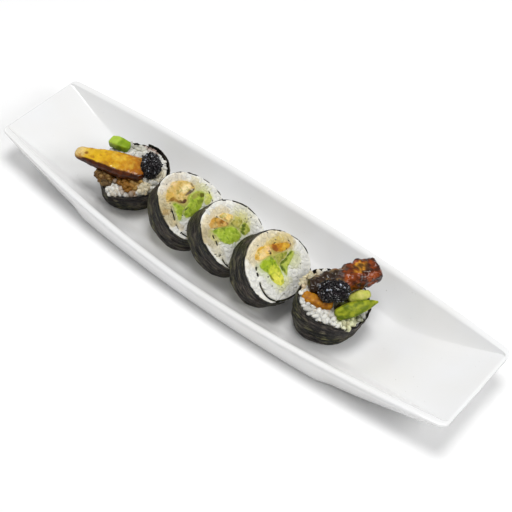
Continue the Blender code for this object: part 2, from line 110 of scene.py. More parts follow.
def many(template, middles, axes, sizes, tints):
    """Copies of a template as one shape: middle + sum over k of (size_k * template_k * axis_k)."""
    count, per = len(middles), len(template["verts"])
    spread = np.einsum("vk,nk,nkj->nvj", template["verts"], sizes, axes)
    shape = {"verts": (middles[:, None] + spread).reshape(-1, 3)}
    step = np.arange(count)[:, None, None] * per
    for key in ("quads", "tris"):
        faces = template[key]
        shape[key] = (faces[None] + step).reshape(-1, faces.shape[1])
    shape["tint"] = np.repeat(tints, per, axis=0)
    return shape


wedge = solid(np.array([[[0, 0, 0], [2, 0, 0], [0, 2, 0]], [[0, 0, 2], [2, 0, 2], [0, 2, 2]]], float))
print("skin over two rows of three points:", len(wedge["quads"]), "quads,", len(wedge["tris"]), "triangles")

# %% Meshes and pieces
MM = 0.001


def make_mesh(name, shape, material, smooth_angle):
    """Mesh object from a shape in millimetres, with its tints and its places on the sheet as
    attributes of its points. Edges sharper than the smooth angle, in degrees, stay crisp."""
    mesh = bpy.data.meshes.new(name)
    faces = [*shape["quads"].tolist(), *shape["tris"].tolist()]
    mesh.from_pydata(shape["verts"] * MM, [], faces)
    mesh.materials.append(material)
    mesh.shade_smooth()
    if smooth_angle < 180:
        mesh.set_sharp_from_angle(angle=math.radians(smooth_angle))
    if "tint" in shape:
        colours = np.hstack([shape["tint"], np.ones((len(shape["verts"]), 1))])
        layer = mesh.attributes.new("tint", "FLOAT_COLOR", "POINT")
        layer.data.foreach_set("color", np.clip(colours, 0, 1).astype(np.float32).ravel())
    if "sheet" in shape:
        layer = mesh.attributes.new("sheet", "FLOAT_VECTOR", "POINT")
        layer.data.foreach_set("vector", (shape["sheet"] * MM).astype(np.float32).ravel())
    thing = bpy.data.objects.new(name, mesh)
    bpy.context.scene.collection.objects.link(thing)
    return thing


def make_piece(name, shape, material, node, slot, smooth_angle=180):
    """A finished piece that stands for a node of the frame and rides on its only body."""
    thing = make_mesh(name, shape, material, smooth_angle)
    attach(thing, "root")
    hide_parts(node)
    print(f"{name}: {len(shape['quads']) * 2 + len(shape['tris'])} triangles")


print("a millimetre is", MM, "of the scene's units")

# %% [markdown]
# ## Unevenness
# Nothing on this plate is perfectly smooth or evenly coloured. Plain random numbers would give
# jagged skins, so the numbers here sit at the corners of a lattice of cubes and are blended in
# between. They come from a hash of each corner's place, so every run gives the same food.

# %% Noise
CORNER_HASH = np.array([73856093, 19349663, 83492791])
SEED_HASH, FINAL_HASH = 26544357, 1274126177


def noise(points, size, seed=0):
    """Smooth noise from -1 to 1: random values at the corners of cubes of this size, blended
    between the corners with 3t^2 - 2t^3. Size may differ by axis."""
    scaled = points / np.asarray(size, float)
    cell = np.floor(scaled)
    t = scaled - cell
    t = t * t * (3 - 2 * t)
    cell = cell.astype(np.int64)
    total = np.zeros(points.shape[:-1])
    for corner in np.ndindex(2, 2, 2):
        h = np.bitwise_xor.reduce((cell + np.array(corner)) * CORNER_HASH, axis=-1) ^ (seed + 11) * SEED_HASH
        h = (h ^ (h >> 13)) * FINAL_HASH
        value = ((h ^ (h >> 16)) & 0xFFFF) / 32767.5 - 1
        weight = np.prod(np.where(np.array(corner), t, 1 - t), axis=-1)
        total += value * weight
    return total


def rough(points, size, seed=0, octaves=3):
    """Noise with detail: each octave has half the size and half the strength of the last."""
    size = np.asarray(size, float)
    return sum(noise(points, size / 2 ** k, seed + k) / 2 ** k for k in range(octaves))


sample = rough(np.linspace(0, 90, 600)[:, None] * [1.0, 0.6, 0.3], 3.0)
print(f"rough noise along a line runs from {sample.min():.2f} to {sample.max():.2f}")


# %% Easing and mixing
def ease(low, high, value):
    """0 below low, 1 above high, smooth in between."""
    t = np.clip((value - low) / (high - low), 0, 1)
    return t * t * (3 - 2 * t)


def hump(turn, width):
    """1 where the turn is nothing, falling off smoothly both ways round the circle."""
    away = (turn + np.pi) % (2 * np.pi) - np.pi
    return np.exp(-(away / width) ** 2)


def blend(first, second, share):
    """Straight mix of two values, points or colours."""
    return first + (second - first) * share


def mixed(colour, other, share):
    """Per-point mix of two colours; each is one colour or one for each point."""
    return blend(np.asarray(colour, float), np.asarray(other, float), np.clip(share, 0, 1)[..., None])


print("easing at 0, 1/4, 1/2, 3/4 and 1:", ease(0, 1, np.linspace(0, 1, 5)).round(3))

# %% [markdown]
# ## Shared shader groups
# Food is never one flat colour. Painted pictures could be wrapped round it, but noise worked out
# in the shader needs no unwrapping and stays sharp from near. Two small node groups are built
# once and used by every food material: mottle makes a tint lighter and darker in patches of two
# sizes, and pores gives a fine uneven height for a Bump node. Both read the Object coordinates
# handed to them, so the pattern belongs to the piece.

# %% Node helpers
def feed(tree, node, inputs):
    """Gives each named or numbered input a link from another socket, a colour, or a number."""
    for label, value in inputs.items():
        socket = node.inputs[label]
        if isinstance(value, bpy.types.NodeSocket):
            tree.links.new(value, socket)
        elif isinstance(value, tuple) and len(socket.default_value) == 4:
            socket.default_value = (*value, 1.0)
        else:
            socket.default_value = value


def add(tree, kind, inputs, **settings):
    """A new node with its settings made and its inputs fed."""
    node = tree.nodes.new(kind)
    for name, value in settings.items():
        setattr(node, name, value)
    feed(tree, node, inputs)
    return node


def noise_node(tree, vector, scale, detail=3.0, roughness=0.55):
    inputs = {"Vector": vector, "Scale": scale, "Detail": detail, "Roughness": roughness}
    return add(tree, "ShaderNodeTexNoise", inputs).outputs["Fac"]


def math_node(tree, operation, first, second):
    return add(tree, "ShaderNodeMath", {0: first, 1: second}, operation=operation).outputs[0]


def span(tree, value, low, high, to_low=0.0, to_high=1.0):
    """Takes low..high to to_low..to_high and stops at both ends."""
    inputs = {"Value": value, "From Min": low, "From Max": high, "To Min": to_low, "To Max": to_high}
    return add(tree, "ShaderNodeMapRange", inputs).outputs["Result"]


def mix_colours(tree, factor, first, second, blend_type="MIX"):
    """A Mix node set to colours, whose sockets 0, 6 and 7 are the factor and the two colours."""
    inputs = {0: factor, 6: first, 7: second}
    return add(tree, "ShaderNodeMix", inputs, data_type="RGBA", blend_type=blend_type).outputs[2]


helpers = (noise_node, math_node, span, mix_colours)
print("each of these adds one node and hands back its output:", [helper.__name__ for helper in helpers])


# %% Mottle and pores
def new_group(name, inputs, outputs):
    """An empty group with named sockets, each given as name: kind, and its two inner ends."""
    group = bpy.data.node_groups.new(name, "ShaderNodeTree")
    for in_out, sockets in (("INPUT", inputs), ("OUTPUT", outputs)):
        for label, kind in sockets.items():
            group.interface.new_socket(name=label, in_out=in_out, socket_type="NodeSocket" + kind)
    return group, group.nodes.new("NodeGroupInput").outputs, group.nodes.new("NodeGroupOutput")


def make_mottle():
    """Colour x (1 + Amount x (coarse + fine noise)), noise centred on nothing."""
    inputs = {"Vector": "Vector", "Colour": "Color", "Scale": "Float", "Amount": "Float"}
    group, given, result = new_group("mottle", inputs, {"Colour": "Color"})
    coarse = noise_node(group, given["Vector"], given["Scale"], 2.0, 0.5)
    finer = math_node(group, "MULTIPLY", given["Scale"], 4.3)
    fine = noise_node(group, given["Vector"], finer, 2.0, 0.5)
    centred = math_node(group, "SUBTRACT", math_node(group, "ADD", coarse, fine), 1.0)
    strength = math_node(group, "MULTIPLY", centred, given["Amount"])
    factor = math_node(group, "ADD", strength, 1.0)
    grey = add(group, "ShaderNodeCombineColor", {"Red": factor, "Green": factor, "Blue": factor})
    feed(group, result, {"Colour": mix_colours(group, 1.0, given["Colour"], grey.outputs[0], "MULTIPLY")})
    return group


def make_pores():
    """Height from fine noise plus shallow pits at the middles of small cells."""
    group, given, result = new_group("pores", {"Vector": "Vector", "Scale": "Float"}, {"Height": "Float"})
    grain = noise_node(group, given["Vector"], given["Scale"], 4.0, 0.5)
    cells = add(group, "ShaderNodeTexVoronoi", {"Vector": given["Vector"], "Scale": given["Scale"]})
    pits = math_node(group, "MULTIPLY", cells.outputs["Distance"], 0.5)
    feed(group, result, {"Height": math_node(group, "ADD", grain, pits)})
    return group


MOTTLE = make_mottle()
PORES = make_pores()
print("shader groups with", len(MOTTLE.nodes), "and", len(PORES.nodes), "nodes")


# %% Food materials
def new_material(name):
    """A material, its node tree and its shader."""
    material = bpy.data.materials.new(name)
    material.use_nodes = True
    return material, material.node_tree, material.node_tree.nodes["Principled BSDF"]


def object_place(tree):
    return add(tree, "ShaderNodeTexCoord", {}).outputs["Object"]


def use_group(tree, group, **inputs):
    return add(tree, "ShaderNodeGroup", inputs, node_tree=group).outputs[0]


def bumped(tree, height, strength, distance):
    inputs = {"Height": height, "Strength": strength, "Distance": distance}
    return add(tree, "ShaderNodeBump", inputs).outputs["Normal"]


def food_material(name, roughness, wet, mottle, pores, soft=0.0, soft_colour=(1.0, 0.6, 0.3)):
    """Tint from the mesh, mottled by (scale, amount); roughness between two values; fine bump by
    (scale, strength); a wet coat; light that soaks in, as much as soft says."""
    material, tree, shader = new_material(name)
    place = object_place(tree)
    tint = add(tree, "ShaderNodeAttribute", {}, attribute_name="tint").outputs["Color"]
    patches = noise_node(tree, place, mottle[0] * 1.7)
    height = use_group(tree, PORES, Vector=place, Scale=pores[0])
    feed(tree, shader, {
        "Base Color": use_group(tree, MOTTLE, Vector=place, Colour=tint, Scale=mottle[0], Amount=mottle[1]),
        "Roughness": span(tree, patches, 0.3, 0.7, *roughness),
        "Normal": bumped(tree, height, pores[1], 0.4 * MM),
        "Coat Weight": wet, "Coat Roughness": 0.08, "Specular IOR Level": 0.2,
        "Subsurface Weight": soft, "Subsurface Radius": soft_colour, "Subsurface Scale": 1.5 * MM})
    return material


print("every food material stands on:", MOTTLE.name, "and", PORES.name)

# %% [markdown]
# ## The plate
# The plate is one shell of glazed porcelain, pressed in a mould, so it is smooth all over. A
# bevelled and bent box could stand for it, but its section changes all along the length:
# narrower and higher towards the ends, with a flat base in the middle and ends that sweep up. A
# section whose sizes are functions of the length follows that exactly. The section's corners
# are rounded by corner cutting, which replaces each corner by two points a quarter of the way
# along its sides, done twice.

# %% Plate sizes
# Heights are above the table. Roundings and the lip are measured across the edge that they soften.
HALF_LENGTH = 200.0
END_HALF_WIDTH, MIDDLE_HALF_WIDTH = 37.4, 53.5
MIDDLE_RIM, END_RIM = 20.3, 29.2
FLOOR = 5.5
FLOOR_FLAT = 120.0
FOOT_HALF = 107.0
FOOT_RISE = 24.2
LIP = 4.5
EDGE_ROUND = 2.2
CORNER_ROUND = 5.0


def rounding(distance, radius):
    """How far a round edge of this radius has fallen away at a distance from its end."""
    inside = np.clip(radius - distance, 0, radius)
    return radius - np.sqrt(radius ** 2 - inside ** 2)


def past(x, flat):
    """Share of the way from the end of a flat middle to the end of the plate."""
    return np.clip(np.abs(x) - flat, 0, None) / (HALF_LENGTH - flat)


def rim_height(x):
    return blend(MIDDLE_RIM, END_RIM, (np.abs(x) / HALF_LENGTH) ** 1.38)


def floor_height(x):
    return blend(FLOOR, END_RIM, past(x, FLOOR_FLAT) ** 1.45)


def under_height(x):
    return FOOT_RISE * past(x, FOOT_HALF) ** 1.62


def half_width(x):
    """A parabola along the length, rounded off at the corners."""
    width = blend(END_HALF_WIDTH, MIDDLE_HALF_WIDTH, 1 - (x / HALF_LENGTH) ** 2)
    return width - rounding(HALF_LENGTH - np.abs(x), CORNER_ROUND)


def inner_wall(x):
    """(top edge, run, drop, curve) of the inside wall, which falls from the lip to the floor."""
    end = np.abs(x) / HALF_LENGTH
    top = half_width(x) - LIP
    drop = np.clip(rim_height(x) - floor_height(x), 0, None)
    return top, np.maximum(drop * blend(1.30, 0.90, end), 1.0), drop, blend(1.7, 1.15, end)


for x in (0.0, 100.0, 195.0):
    print(f"at {x} mm the rim is {rim_height(x):.1f} high and {2 * half_width(x):.1f} wide")


# %% Plate section
def plate_points(x):
    """Half a cross-section at each x, from the middle of the base out and back to the middle of
    the floor: base, outer wall, lip, then floor + drop * (1 - t)^curve down the inside. The
    other half mirrors it."""
    soften = rounding(HALF_LENGTH - np.abs(x), EDGE_ROUND)
    rim = rim_height(x) - soften
    under = under_height(x) + soften
    width = half_width(x)
    tuck = ease(105, 122, np.abs(x)) * (1 - ease(150, 195, np.abs(x)))
    foot = width - 3.0 - 2.4 * tuck
    height = rim - under
    pairs = [(0 * x, under), (0.5 * foot, under), (foot - 4.5, under), (foot - 1.6, under)]
    pairs += [(foot - 0.3, under + 0.07 * height), (blend(foot, width, 0.42), under + 0.34 * height)]
    pairs += [(blend(foot, width, 0.82), under + 0.66 * height), (width, rim - 0.16 * height)]
    pairs += [(width, rim - 0.9), (width - 0.8, rim), (width - LIP + 1.3, rim + 0.1)]
    top, run, drop, curve = inner_wall(x)
    floor = rim - drop
    for t in (0.03, 0.12, 0.24, 0.38, 0.54, 0.72, 0.88, 1.0):
        pairs.append((top - run * t, floor + drop * (1 - t) ** curve))
    pairs += [(0.5 * (top - run), floor), (0 * x, floor)]
    half = np.stack([np.stack(pair, axis=-1) for pair in pairs], axis=1)
    mirrored = half[:, -2:0:-1] * [-1, 1]
    return np.concatenate([half, mirrored], axis=1)


def cut_corners(loops, times):
    """Rounds closed outlines: every side gives points at a quarter and three quarters."""
    for _ in range(times):
        ahead = np.roll(loops, -1, axis=1)
        pair = np.stack([0.75 * loops + 0.25 * ahead, 0.25 * loops + 0.75 * ahead], axis=2)
        loops = pair.reshape(len(loops), -1, loops.shape[2])
    return loops


def plate_shape():
    """Sections along the plate, closer together where its ends are rounded."""
    near_end = HALF_LENGTH - np.array([0, 0.12, 0.35, 0.7, 1.1, 1.6, 2.2, 2.9, 3.8, 5.0])
    rest = np.linspace(HALF_LENGTH - 8, 0, 60)
    positive = np.concatenate([near_end, rest])
    x = np.concatenate([positive, -positive[-2::-1]])
    section = cut_corners(plate_points(x), 2)
    along = np.broadcast_to(x[:, None, None], (*section.shape[:2], 1))
    return solid(np.concatenate([along, section], axis=-1))


plate_skin = plate_shape()
print("plate sizes in millimetres:", np.ptp(plate_skin["verts"], axis=0).round(2))

# %% [markdown]
# ## The glaze
# Clear glaze lies over white clay. Glass over a white body could be built as two layers, but
# the Principled shader's coat does the same for a solid thing: a glossy layer over a softer one,
# with a faint wave so that reflections are not quite straight.

# %% Plate glaze
def porcelain_material():
    """Clear glaze over white clay: a glossy coat with a very slight orange-peel wave, a little
    warmth in patches, and the odd fine speck."""
    material, tree, shader = new_material("porcelain_glaze")
    place = object_place(tree)
    warm = span(tree, noise_node(tree, place, 22.0, 2.0), 0.35, 0.7)
    colour = mix_colours(tree, warm, (0.87, 0.875, 0.88), (0.85, 0.845, 0.83))
    specks = span(tree, noise_node(tree, place, 900.0, 1.0), 0.79, 0.83)
    feed(tree, shader, {
        "Base Color": mix_colours(tree, specks, colour, (0.45, 0.43, 0.40)),
        "Roughness": span(tree, noise_node(tree, place, 60.0), 0.3, 0.7, 0.10, 0.2),
        "Normal": bumped(tree, noise_node(tree, place, 90.0, 2.0), 0.04, 1.0 * MM),
        "Coat Weight": 0.3, "Coat Roughness": 0.12, "IOR": 1.52})
    return material


make_piece("serving_plate", plate_skin, porcelain_material(), "plate", "porcelain")

# %% [markdown]
# ## Where each piece of roll stands
# The slices lean back one behind the other and rest on the lowest edge of their backs. Each could be made
# upright and turned by hand, but then every change of its radius would lift it off the plate.
# Here a slice has its own flat frame, worked out from where it rests and how far it leans: u
# runs across the cut face, v up it and w out of it, from the middle of the face. Its outline is
# a circle with an oval and a three-lobed part. The nori follows the outline as a spiral that
# laps itself, and its inner end turns into the rice, which is the dark line that curls inside
# each cut face.

# %% Slices
REST = FLOOR + 0.3
NORI = 0.8
WRAP_PITCH = 1.6
TAIL_TIP, TAIL_ROOT = np.radians(148), np.radians(228)
TAIL_DEPTH = 7.4
LAP = np.radians(15)
# Toe is where the lowest edge of the back rests, lean is how far the cut face tilts from flat, and
# heading is the way it looks. Oval and lobes are (size, angle). Angles are in degrees.
SLICES = {
    "piece_2": dict(toe=(-22.6, -8.8), lean=32.0, heading=-1.2, thick=23.2, radius=25.6,
                    oval=(0.9, 95), lobes=(0.9, 95)),
    "piece_3": dict(toe=(15.3, -10.8), lean=38.3, heading=-2.6, thick=23.3, radius=25.1,
                    oval=(1.4, 100), lobes=(0.4, 110)),
    "piece_4": dict(toe=(52.0, -11.2), lean=41.0, heading=-1.4, thick=22.6, radius=25.7,
                    oval=(0.8, 168), lobes=(0.6, -30)),
}


def outline_radius(spec, angle):
    """Mean radius + oval part cos 2(a - a2) + lobed part cos 3(a - a3)."""
    oval = spec["oval"][0] * np.cos(2 * (angle - np.radians(spec["oval"][1])))
    lobe = spec["lobes"][0] * np.cos(3 * (angle - np.radians(spec["lobes"][1])))
    return spec["radius"] + oval + lobe


def sheet_radius(spec, angle):
    """Middle of the nori: outline - pitch * (1 - turns) round the ring, easing deeper towards
    the tip of the tail."""
    turns = np.clip((angle - TAIL_ROOT) / (2 * np.pi), 0, 1)
    deeper = np.clip((TAIL_ROOT - angle) / (TAIL_ROOT - TAIL_TIP), 0, 1)
    ring = outline_radius(spec, angle) - NORI / 2 - WRAP_PITCH * (1 - turns)
    return ring - TAIL_DEPTH * ease(0, 0.8, deeper)


def slice_frame(spec):
    """(origin, rows u, v, w) of a slice that stands on its lowest edge and leans back."""
    lean, heading = np.radians(spec["lean"]), np.radians(spec["heading"])
    out = np.array([np.sin(lean) * np.cos(heading), np.sin(lean) * np.sin(heading), np.cos(lean)])
    across = np.cross([0, 0, 1], out)
    across /= np.linalg.norm(across)
    up = np.cross(out, across)
    angles = np.linspace(TAIL_ROOT, TAIL_ROOT + 2 * np.pi, 200)
    reach = -np.min(outline_radius(spec, angles) * np.sin(angles))
    origin = np.array([*spec["toe"], REST]) + up * reach + out * spec["thick"]
    return origin, np.array([across, up, out])


FRAMES = {name: slice_frame(spec) for name, spec in SLICES.items()}
for name, (origin, _) in FRAMES.items():
    print(name, "has the middle of its cut face at", origin.round(1))


def stand(piece, shape):
    """Takes a shape from a slice's own frame to its place on the plate."""
    origin, axes = FRAMES[piece]
    shape["verts"] = origin + shape["verts"] @ axes
    return shape


# %% [markdown]
# ## The two ends of the roll
# The ends stand upright and are a little squashed, like a soft drum. A cylinder could be pushed
# into that shape with a lattice, but the nori and the rice both have to follow it, so it is a
# formula that gives a point of the drum for an angle, a share of the way out and a share of the
# height. Its foot and rim have their own middles and widths, and its rim falls to one side.

# %% Roll ends
# Base and rim are the middles of the wall's foot and edge. The rim falls towards its heading, and
# dent, dip and belly are (size, angle): a hollow and a bulge in the wall, and a low place in the rim.
ENDS = {
    "piece_1": dict(base=(-99.3, -1.6), base_radius=24.9, rim=(-93.9, -4.2, 31.5), rim_radius=26.8,
                    fall=2.5, fall_heading=5, seam=95, crown=3.0, dent=(0.0, 0), dip=(5.5, 262), wave=0.5,
                    belly=(0.0, 0)),
    "piece_5": dict(base=(84.2, -4.2), base_radius=23.6, rim=(89.0, -4.0, 31.5), rim_radius=25.6,
                    fall=7.2, fall_heading=40, seam=70, crown=1.6, dent=(3.6, 192), dip=(0.0, 0), wave=0.7,
                    belly=(2.2, 221)),
}
DENT_WIDTH, DIP_WIDTH, BELLY_WIDTH = np.radians(30), np.radians(52), np.radians(55)


def end_point(spec, angle, share, height_share, inset=0.0):
    """Point of a roll end: the axis runs from the base's middle to the rim's, the wall flares,
    dents and bellies out, and the rim's height falls, dips and waves with the angle."""
    h = np.asarray(height_share, float)[..., None]
    base = np.array([*spec["base"], 0.0])
    middle = blend(base, np.array(spec["rim"]), h)
    flare = blend(spec["base_radius"], spec["rim_radius"], h[..., 0] ** 1.3)
    tuck = 0.9 * (1 - ease(0.0, 0.06, h[..., 0]))
    dent = spec["dent"][0] * hump(angle - np.radians(spec["dent"][1]), DENT_WIDTH)
    belly = spec["belly"][0] * hump(angle - np.radians(spec["belly"][1]), BELLY_WIDTH)
    belly = belly * np.sin(np.pi * np.clip(h[..., 0], 0, 1))
    radius = share * (flare - tuck - dent + belly - inset)
    x = middle[..., 0] + radius * np.cos(angle)
    y = middle[..., 1] + radius * np.sin(angle)
    fall = spec["fall"] * share * np.cos(angle - np.radians(spec["fall_heading"]))
    dip = spec["dip"][0] * share ** 2 * hump(angle - np.radians(spec["dip"][1]), DIP_WIDTH)
    wave = spec["wave"] * share * np.sin(5 * angle + spec["seam"])
    z = blend(REST + 0.2, spec["rim"][2] - fall - dip + wave, h[..., 0])
    return np.stack(np.broadcast_arrays(x, y, z), axis=-1)


for name, spec in ENDS.items():
    print(name, "leans by", np.round(np.array(spec["rim"][:2]) - spec["base"], 1), "from foot to rim")

# %% [markdown]
# ## Nori
# Nori is pressed and dried like paper: nearly black, with green and brown showing through,
# fine fibres along the sheet and small puckers where the damp rice has pulled it. A plane with
# a Solidify modifier could be wrapped round, but the spiral, the torn tail and the edge that
# wavers all need their own say over every point. So it is one strip carried along a path: at
# each step round the roll there is a flat loop, up the outer side, over the cut edge and down
# the inner side. The puckers move both sides together, and the cut edge wavers and dips below
# the rice here and there.

# %% Wrapped sheets
SHEET = 0.5
STRIP_STEPS = 22
RING_STEPS = 330
END_HEIGHT = 27.0


def strip_loop(count):
    """Shares of the height and sides (+1 outer, -1 inner) once round a flat loop."""
    up = np.linspace(0, 1, count)
    return np.concatenate([up, up[::-1]]), np.concatenate([np.ones(count), -np.ones(count)])


def wrap(place, angles, arc, height, seed, pucker=0.5, ragged=0.35, lift=0.0, swell=0.0):
    """A strip of nori: place(angle, height share, outward offset) along the angles, with
    puckers of rough noise stretched along the sheet. Lift raises its upper edge and swell
    thickens it, each per angle."""
    share, side = strip_loop(STRIP_STEPS)
    along, across = np.meshgrid(arc, share * height, indexing="ij")
    spots = np.stack([along, across, np.full_like(along, seed * 7.3)], axis=-1)
    relief = pucker * rough(spots, (9.0, 2.0, 5.0), seed, 4) + 0.3 * noise(spots, (16, 14, 5), seed + 5)
    edge = ease(0.86, 1.0, share)[None] * (ragged * (rough(spots * [1, 0, 1], 3.0, seed + 9) - 0.3)
                                           + np.broadcast_to(lift, len(angles))[:, None])
    low_edge = (1 - ease(0.0, 0.14, share))[None] * 0.3 * ragged * rough(spots * [1, 0, 1], 4.0, seed + 3)
    shares = share[None] + (edge + low_edge) / height
    round_edge = np.sqrt(np.clip(1 - (2 * np.abs(share - 0.5)) ** 40, 0.05, 1))
    thick = SHEET + np.broadcast_to(swell, len(angles))[:, None]
    offset = side[None] * thick / 2 * round_edge[None] + relief
    points = place(angles[:, None] + 0 * shares, shares, offset)
    shape = solid(points)
    spots[..., 2] = side[None] * 3
    ends = np.stack([spots[0].mean(axis=0), spots[-1].mean(axis=0)])
    shape["sheet"] = np.vstack([spots.reshape(-1, 3), ends])
    return shape


print("points round one step of a strip:", len(strip_loop(STRIP_STEPS)[0]))

# %% Torn tails and swelling rice
# Where the tail of the sheet is torn or hidden: middle and half width in degrees.
TEARS = {"piece_2": [(188, 4), (206, 4)], "piece_3": [(161, 3), (186, 9), (201, 3)],
         "piece_4": [(159, 2), (176, 6)]}


def tail_shows(piece, angle):
    """1 along the tail, falling to 0 past its tip and in each tear."""
    shows = ease(TAIL_TIP - 0.03, TAIL_TIP + 0.03, angle) * ease(TAIL_ROOT + 0.15, TAIL_ROOT, angle)
    for middle, width in TEARS[piece]:
        shows = shows * (1 - np.exp(-((np.degrees(angle) - middle) / width) ** 4))
    return shows


def rice_covers(piece, spec, angle):
    """1 where the rice swells over the cut edge of the sheet, 0 where the sheet's edge is bare."""
    spots = np.stack([np.cos(angle), np.sin(angle), 0 * angle], axis=-1) * spec["radius"]
    covers = ease(-0.05, 0.35, rough(spots, 4.5, int(piece[-1]) * 7, 3))
    return covers * ease(TAIL_ROOT + 0.3, TAIL_ROOT + 0.7, angle)


for piece in SLICES:
    shown = tail_shows(piece, np.linspace(TAIL_TIP, TAIL_ROOT, 100)).mean()
    print(f"{piece}: {shown:.0%} of the tail shows in the cut face")


# %% Nori of the slices and the ends
def slice_nori(piece, spec, seed):
    """The tail, then once round the ring and over the lap."""
    tail = np.linspace(TAIL_TIP, TAIL_ROOT, 46)[:-1]
    ring = np.linspace(TAIL_ROOT, TAIL_ROOT + 2 * np.pi + LAP, RING_STEPS)
    angles = np.concatenate([tail, ring])

    def place(angle, share, offset):
        radius = sheet_radius(spec, angle) + offset
        w = -spec["thick"] * (1 - share)
        return np.stack([radius * np.cos(angle), radius * np.sin(angle), w], axis=-1)

    arc = angles * spec["radius"]
    shows = tail_shows(piece, angles)
    in_tail = ease(TAIL_ROOT + 0.05, TAIL_ROOT - 0.05, angles)
    lift = 0.35 * shows - 1.2 * in_tail * (1 - shows) - 0.5 * rice_covers(piece, spec, angles)
    return stand(piece, wrap(place, angles, arc, spec["thick"], seed, lift=lift, swell=0.5 * shows))


def end_nori(spec, seed):
    """Once round from the seam and over the lap, spiralling in by one pitch."""
    seam = np.radians(spec["seam"])
    angles = np.linspace(seam, seam + 2 * np.pi + LAP, RING_STEPS)

    def place(angle, share, offset):
        turns = np.clip((angle - seam) / (2 * np.pi), 0, 1)
        inset = NORI / 2 + WRAP_PITCH * (1 - turns) - offset
        return end_point(spec, angle, 1.0, share, inset)

    arc = angles * spec["rim_radius"]
    return wrap(place, angles, arc, END_HEIGHT, seed, pucker=0.7, ragged=0.6)


nori_skins = {}
for number, (piece, spec) in enumerate(SLICES.items()):
    nori_skins[piece] = slice_nori(piece, spec, 20 + number)
for number, (piece, spec) in enumerate(ENDS.items()):
    nori_skins[piece] = end_nori(spec, 30 + number)
print("points in each nori skin:", {piece: len(skin["verts"]) for piece, skin in nori_skins.items()})


# %% Nori look
def nori_material():
    """Streaks along the sheet mix black-green, brown and olive; the streaks also lift the
    surface a little and change its shine. All of it follows the sheet, not the room."""
    material, tree, shader = new_material("nori_sheet")
    sheet = add(tree, "ShaderNodeAttribute", {}, attribute_name="sheet").outputs["Vector"]
    long_way = add(tree, "ShaderNodeMapping", {"Vector": sheet, "Scale": (1.0, 5.5, 1.0)}).outputs["Vector"]
    fibres = noise_node(tree, long_way, 130.0, 4.0, 0.7)
    patches = span(tree, noise_node(tree, sheet, 70.0, 3.0), 0.40, 0.60)
    dark = mix_colours(tree, patches, (0.002, 0.003, 0.002), (0.007, 0.004, 0.004))
    light = mix_colours(tree, patches, (0.21, 0.20, 0.10), (0.17, 0.14, 0.115))
    colour = mix_colours(tree, span(tree, fibres, 0.50, 0.64), dark, light)
    pale = span(tree, noise_node(tree, sheet, 480.0, 2.0), 0.66, 0.76, 0.0, 0.6)
    fine = noise_node(tree, long_way, 420.0, 4.0, 0.7)
    height = math_node(tree, "ADD", fibres, math_node(tree, "MULTIPLY", fine, 0.5))
    feed(tree, shader, {
        "Base Color": mix_colours(tree, pale, colour, (0.24, 0.22, 0.12)),
        "Roughness": span(tree, fibres, 0.35, 0.7, 0.32, 0.6),
        "Normal": bumped(tree, height, 1.0, 1.0 * MM), "Specular IOR Level": 0.2})
    return material


NORI_LOOK = nori_material()
for piece, skin in nori_skins.items():
    make_piece(piece + "_sheet", skin, NORI_LOOK, piece + "_nori", "nori")

# %% [markdown]
# ## Fillings of the slices
# Each strip of filling runs right through its slice, so its solid is its outline on the cut face
# carried along the roll. A picture of the cut face would show the same colours, but it would
# lie flat; real strips stand out of the rice and catch the light on their own edges. So each
# outline is a smooth closed curve through a few points, made uneven by noise, and the cut end
# is slightly domed and rough.

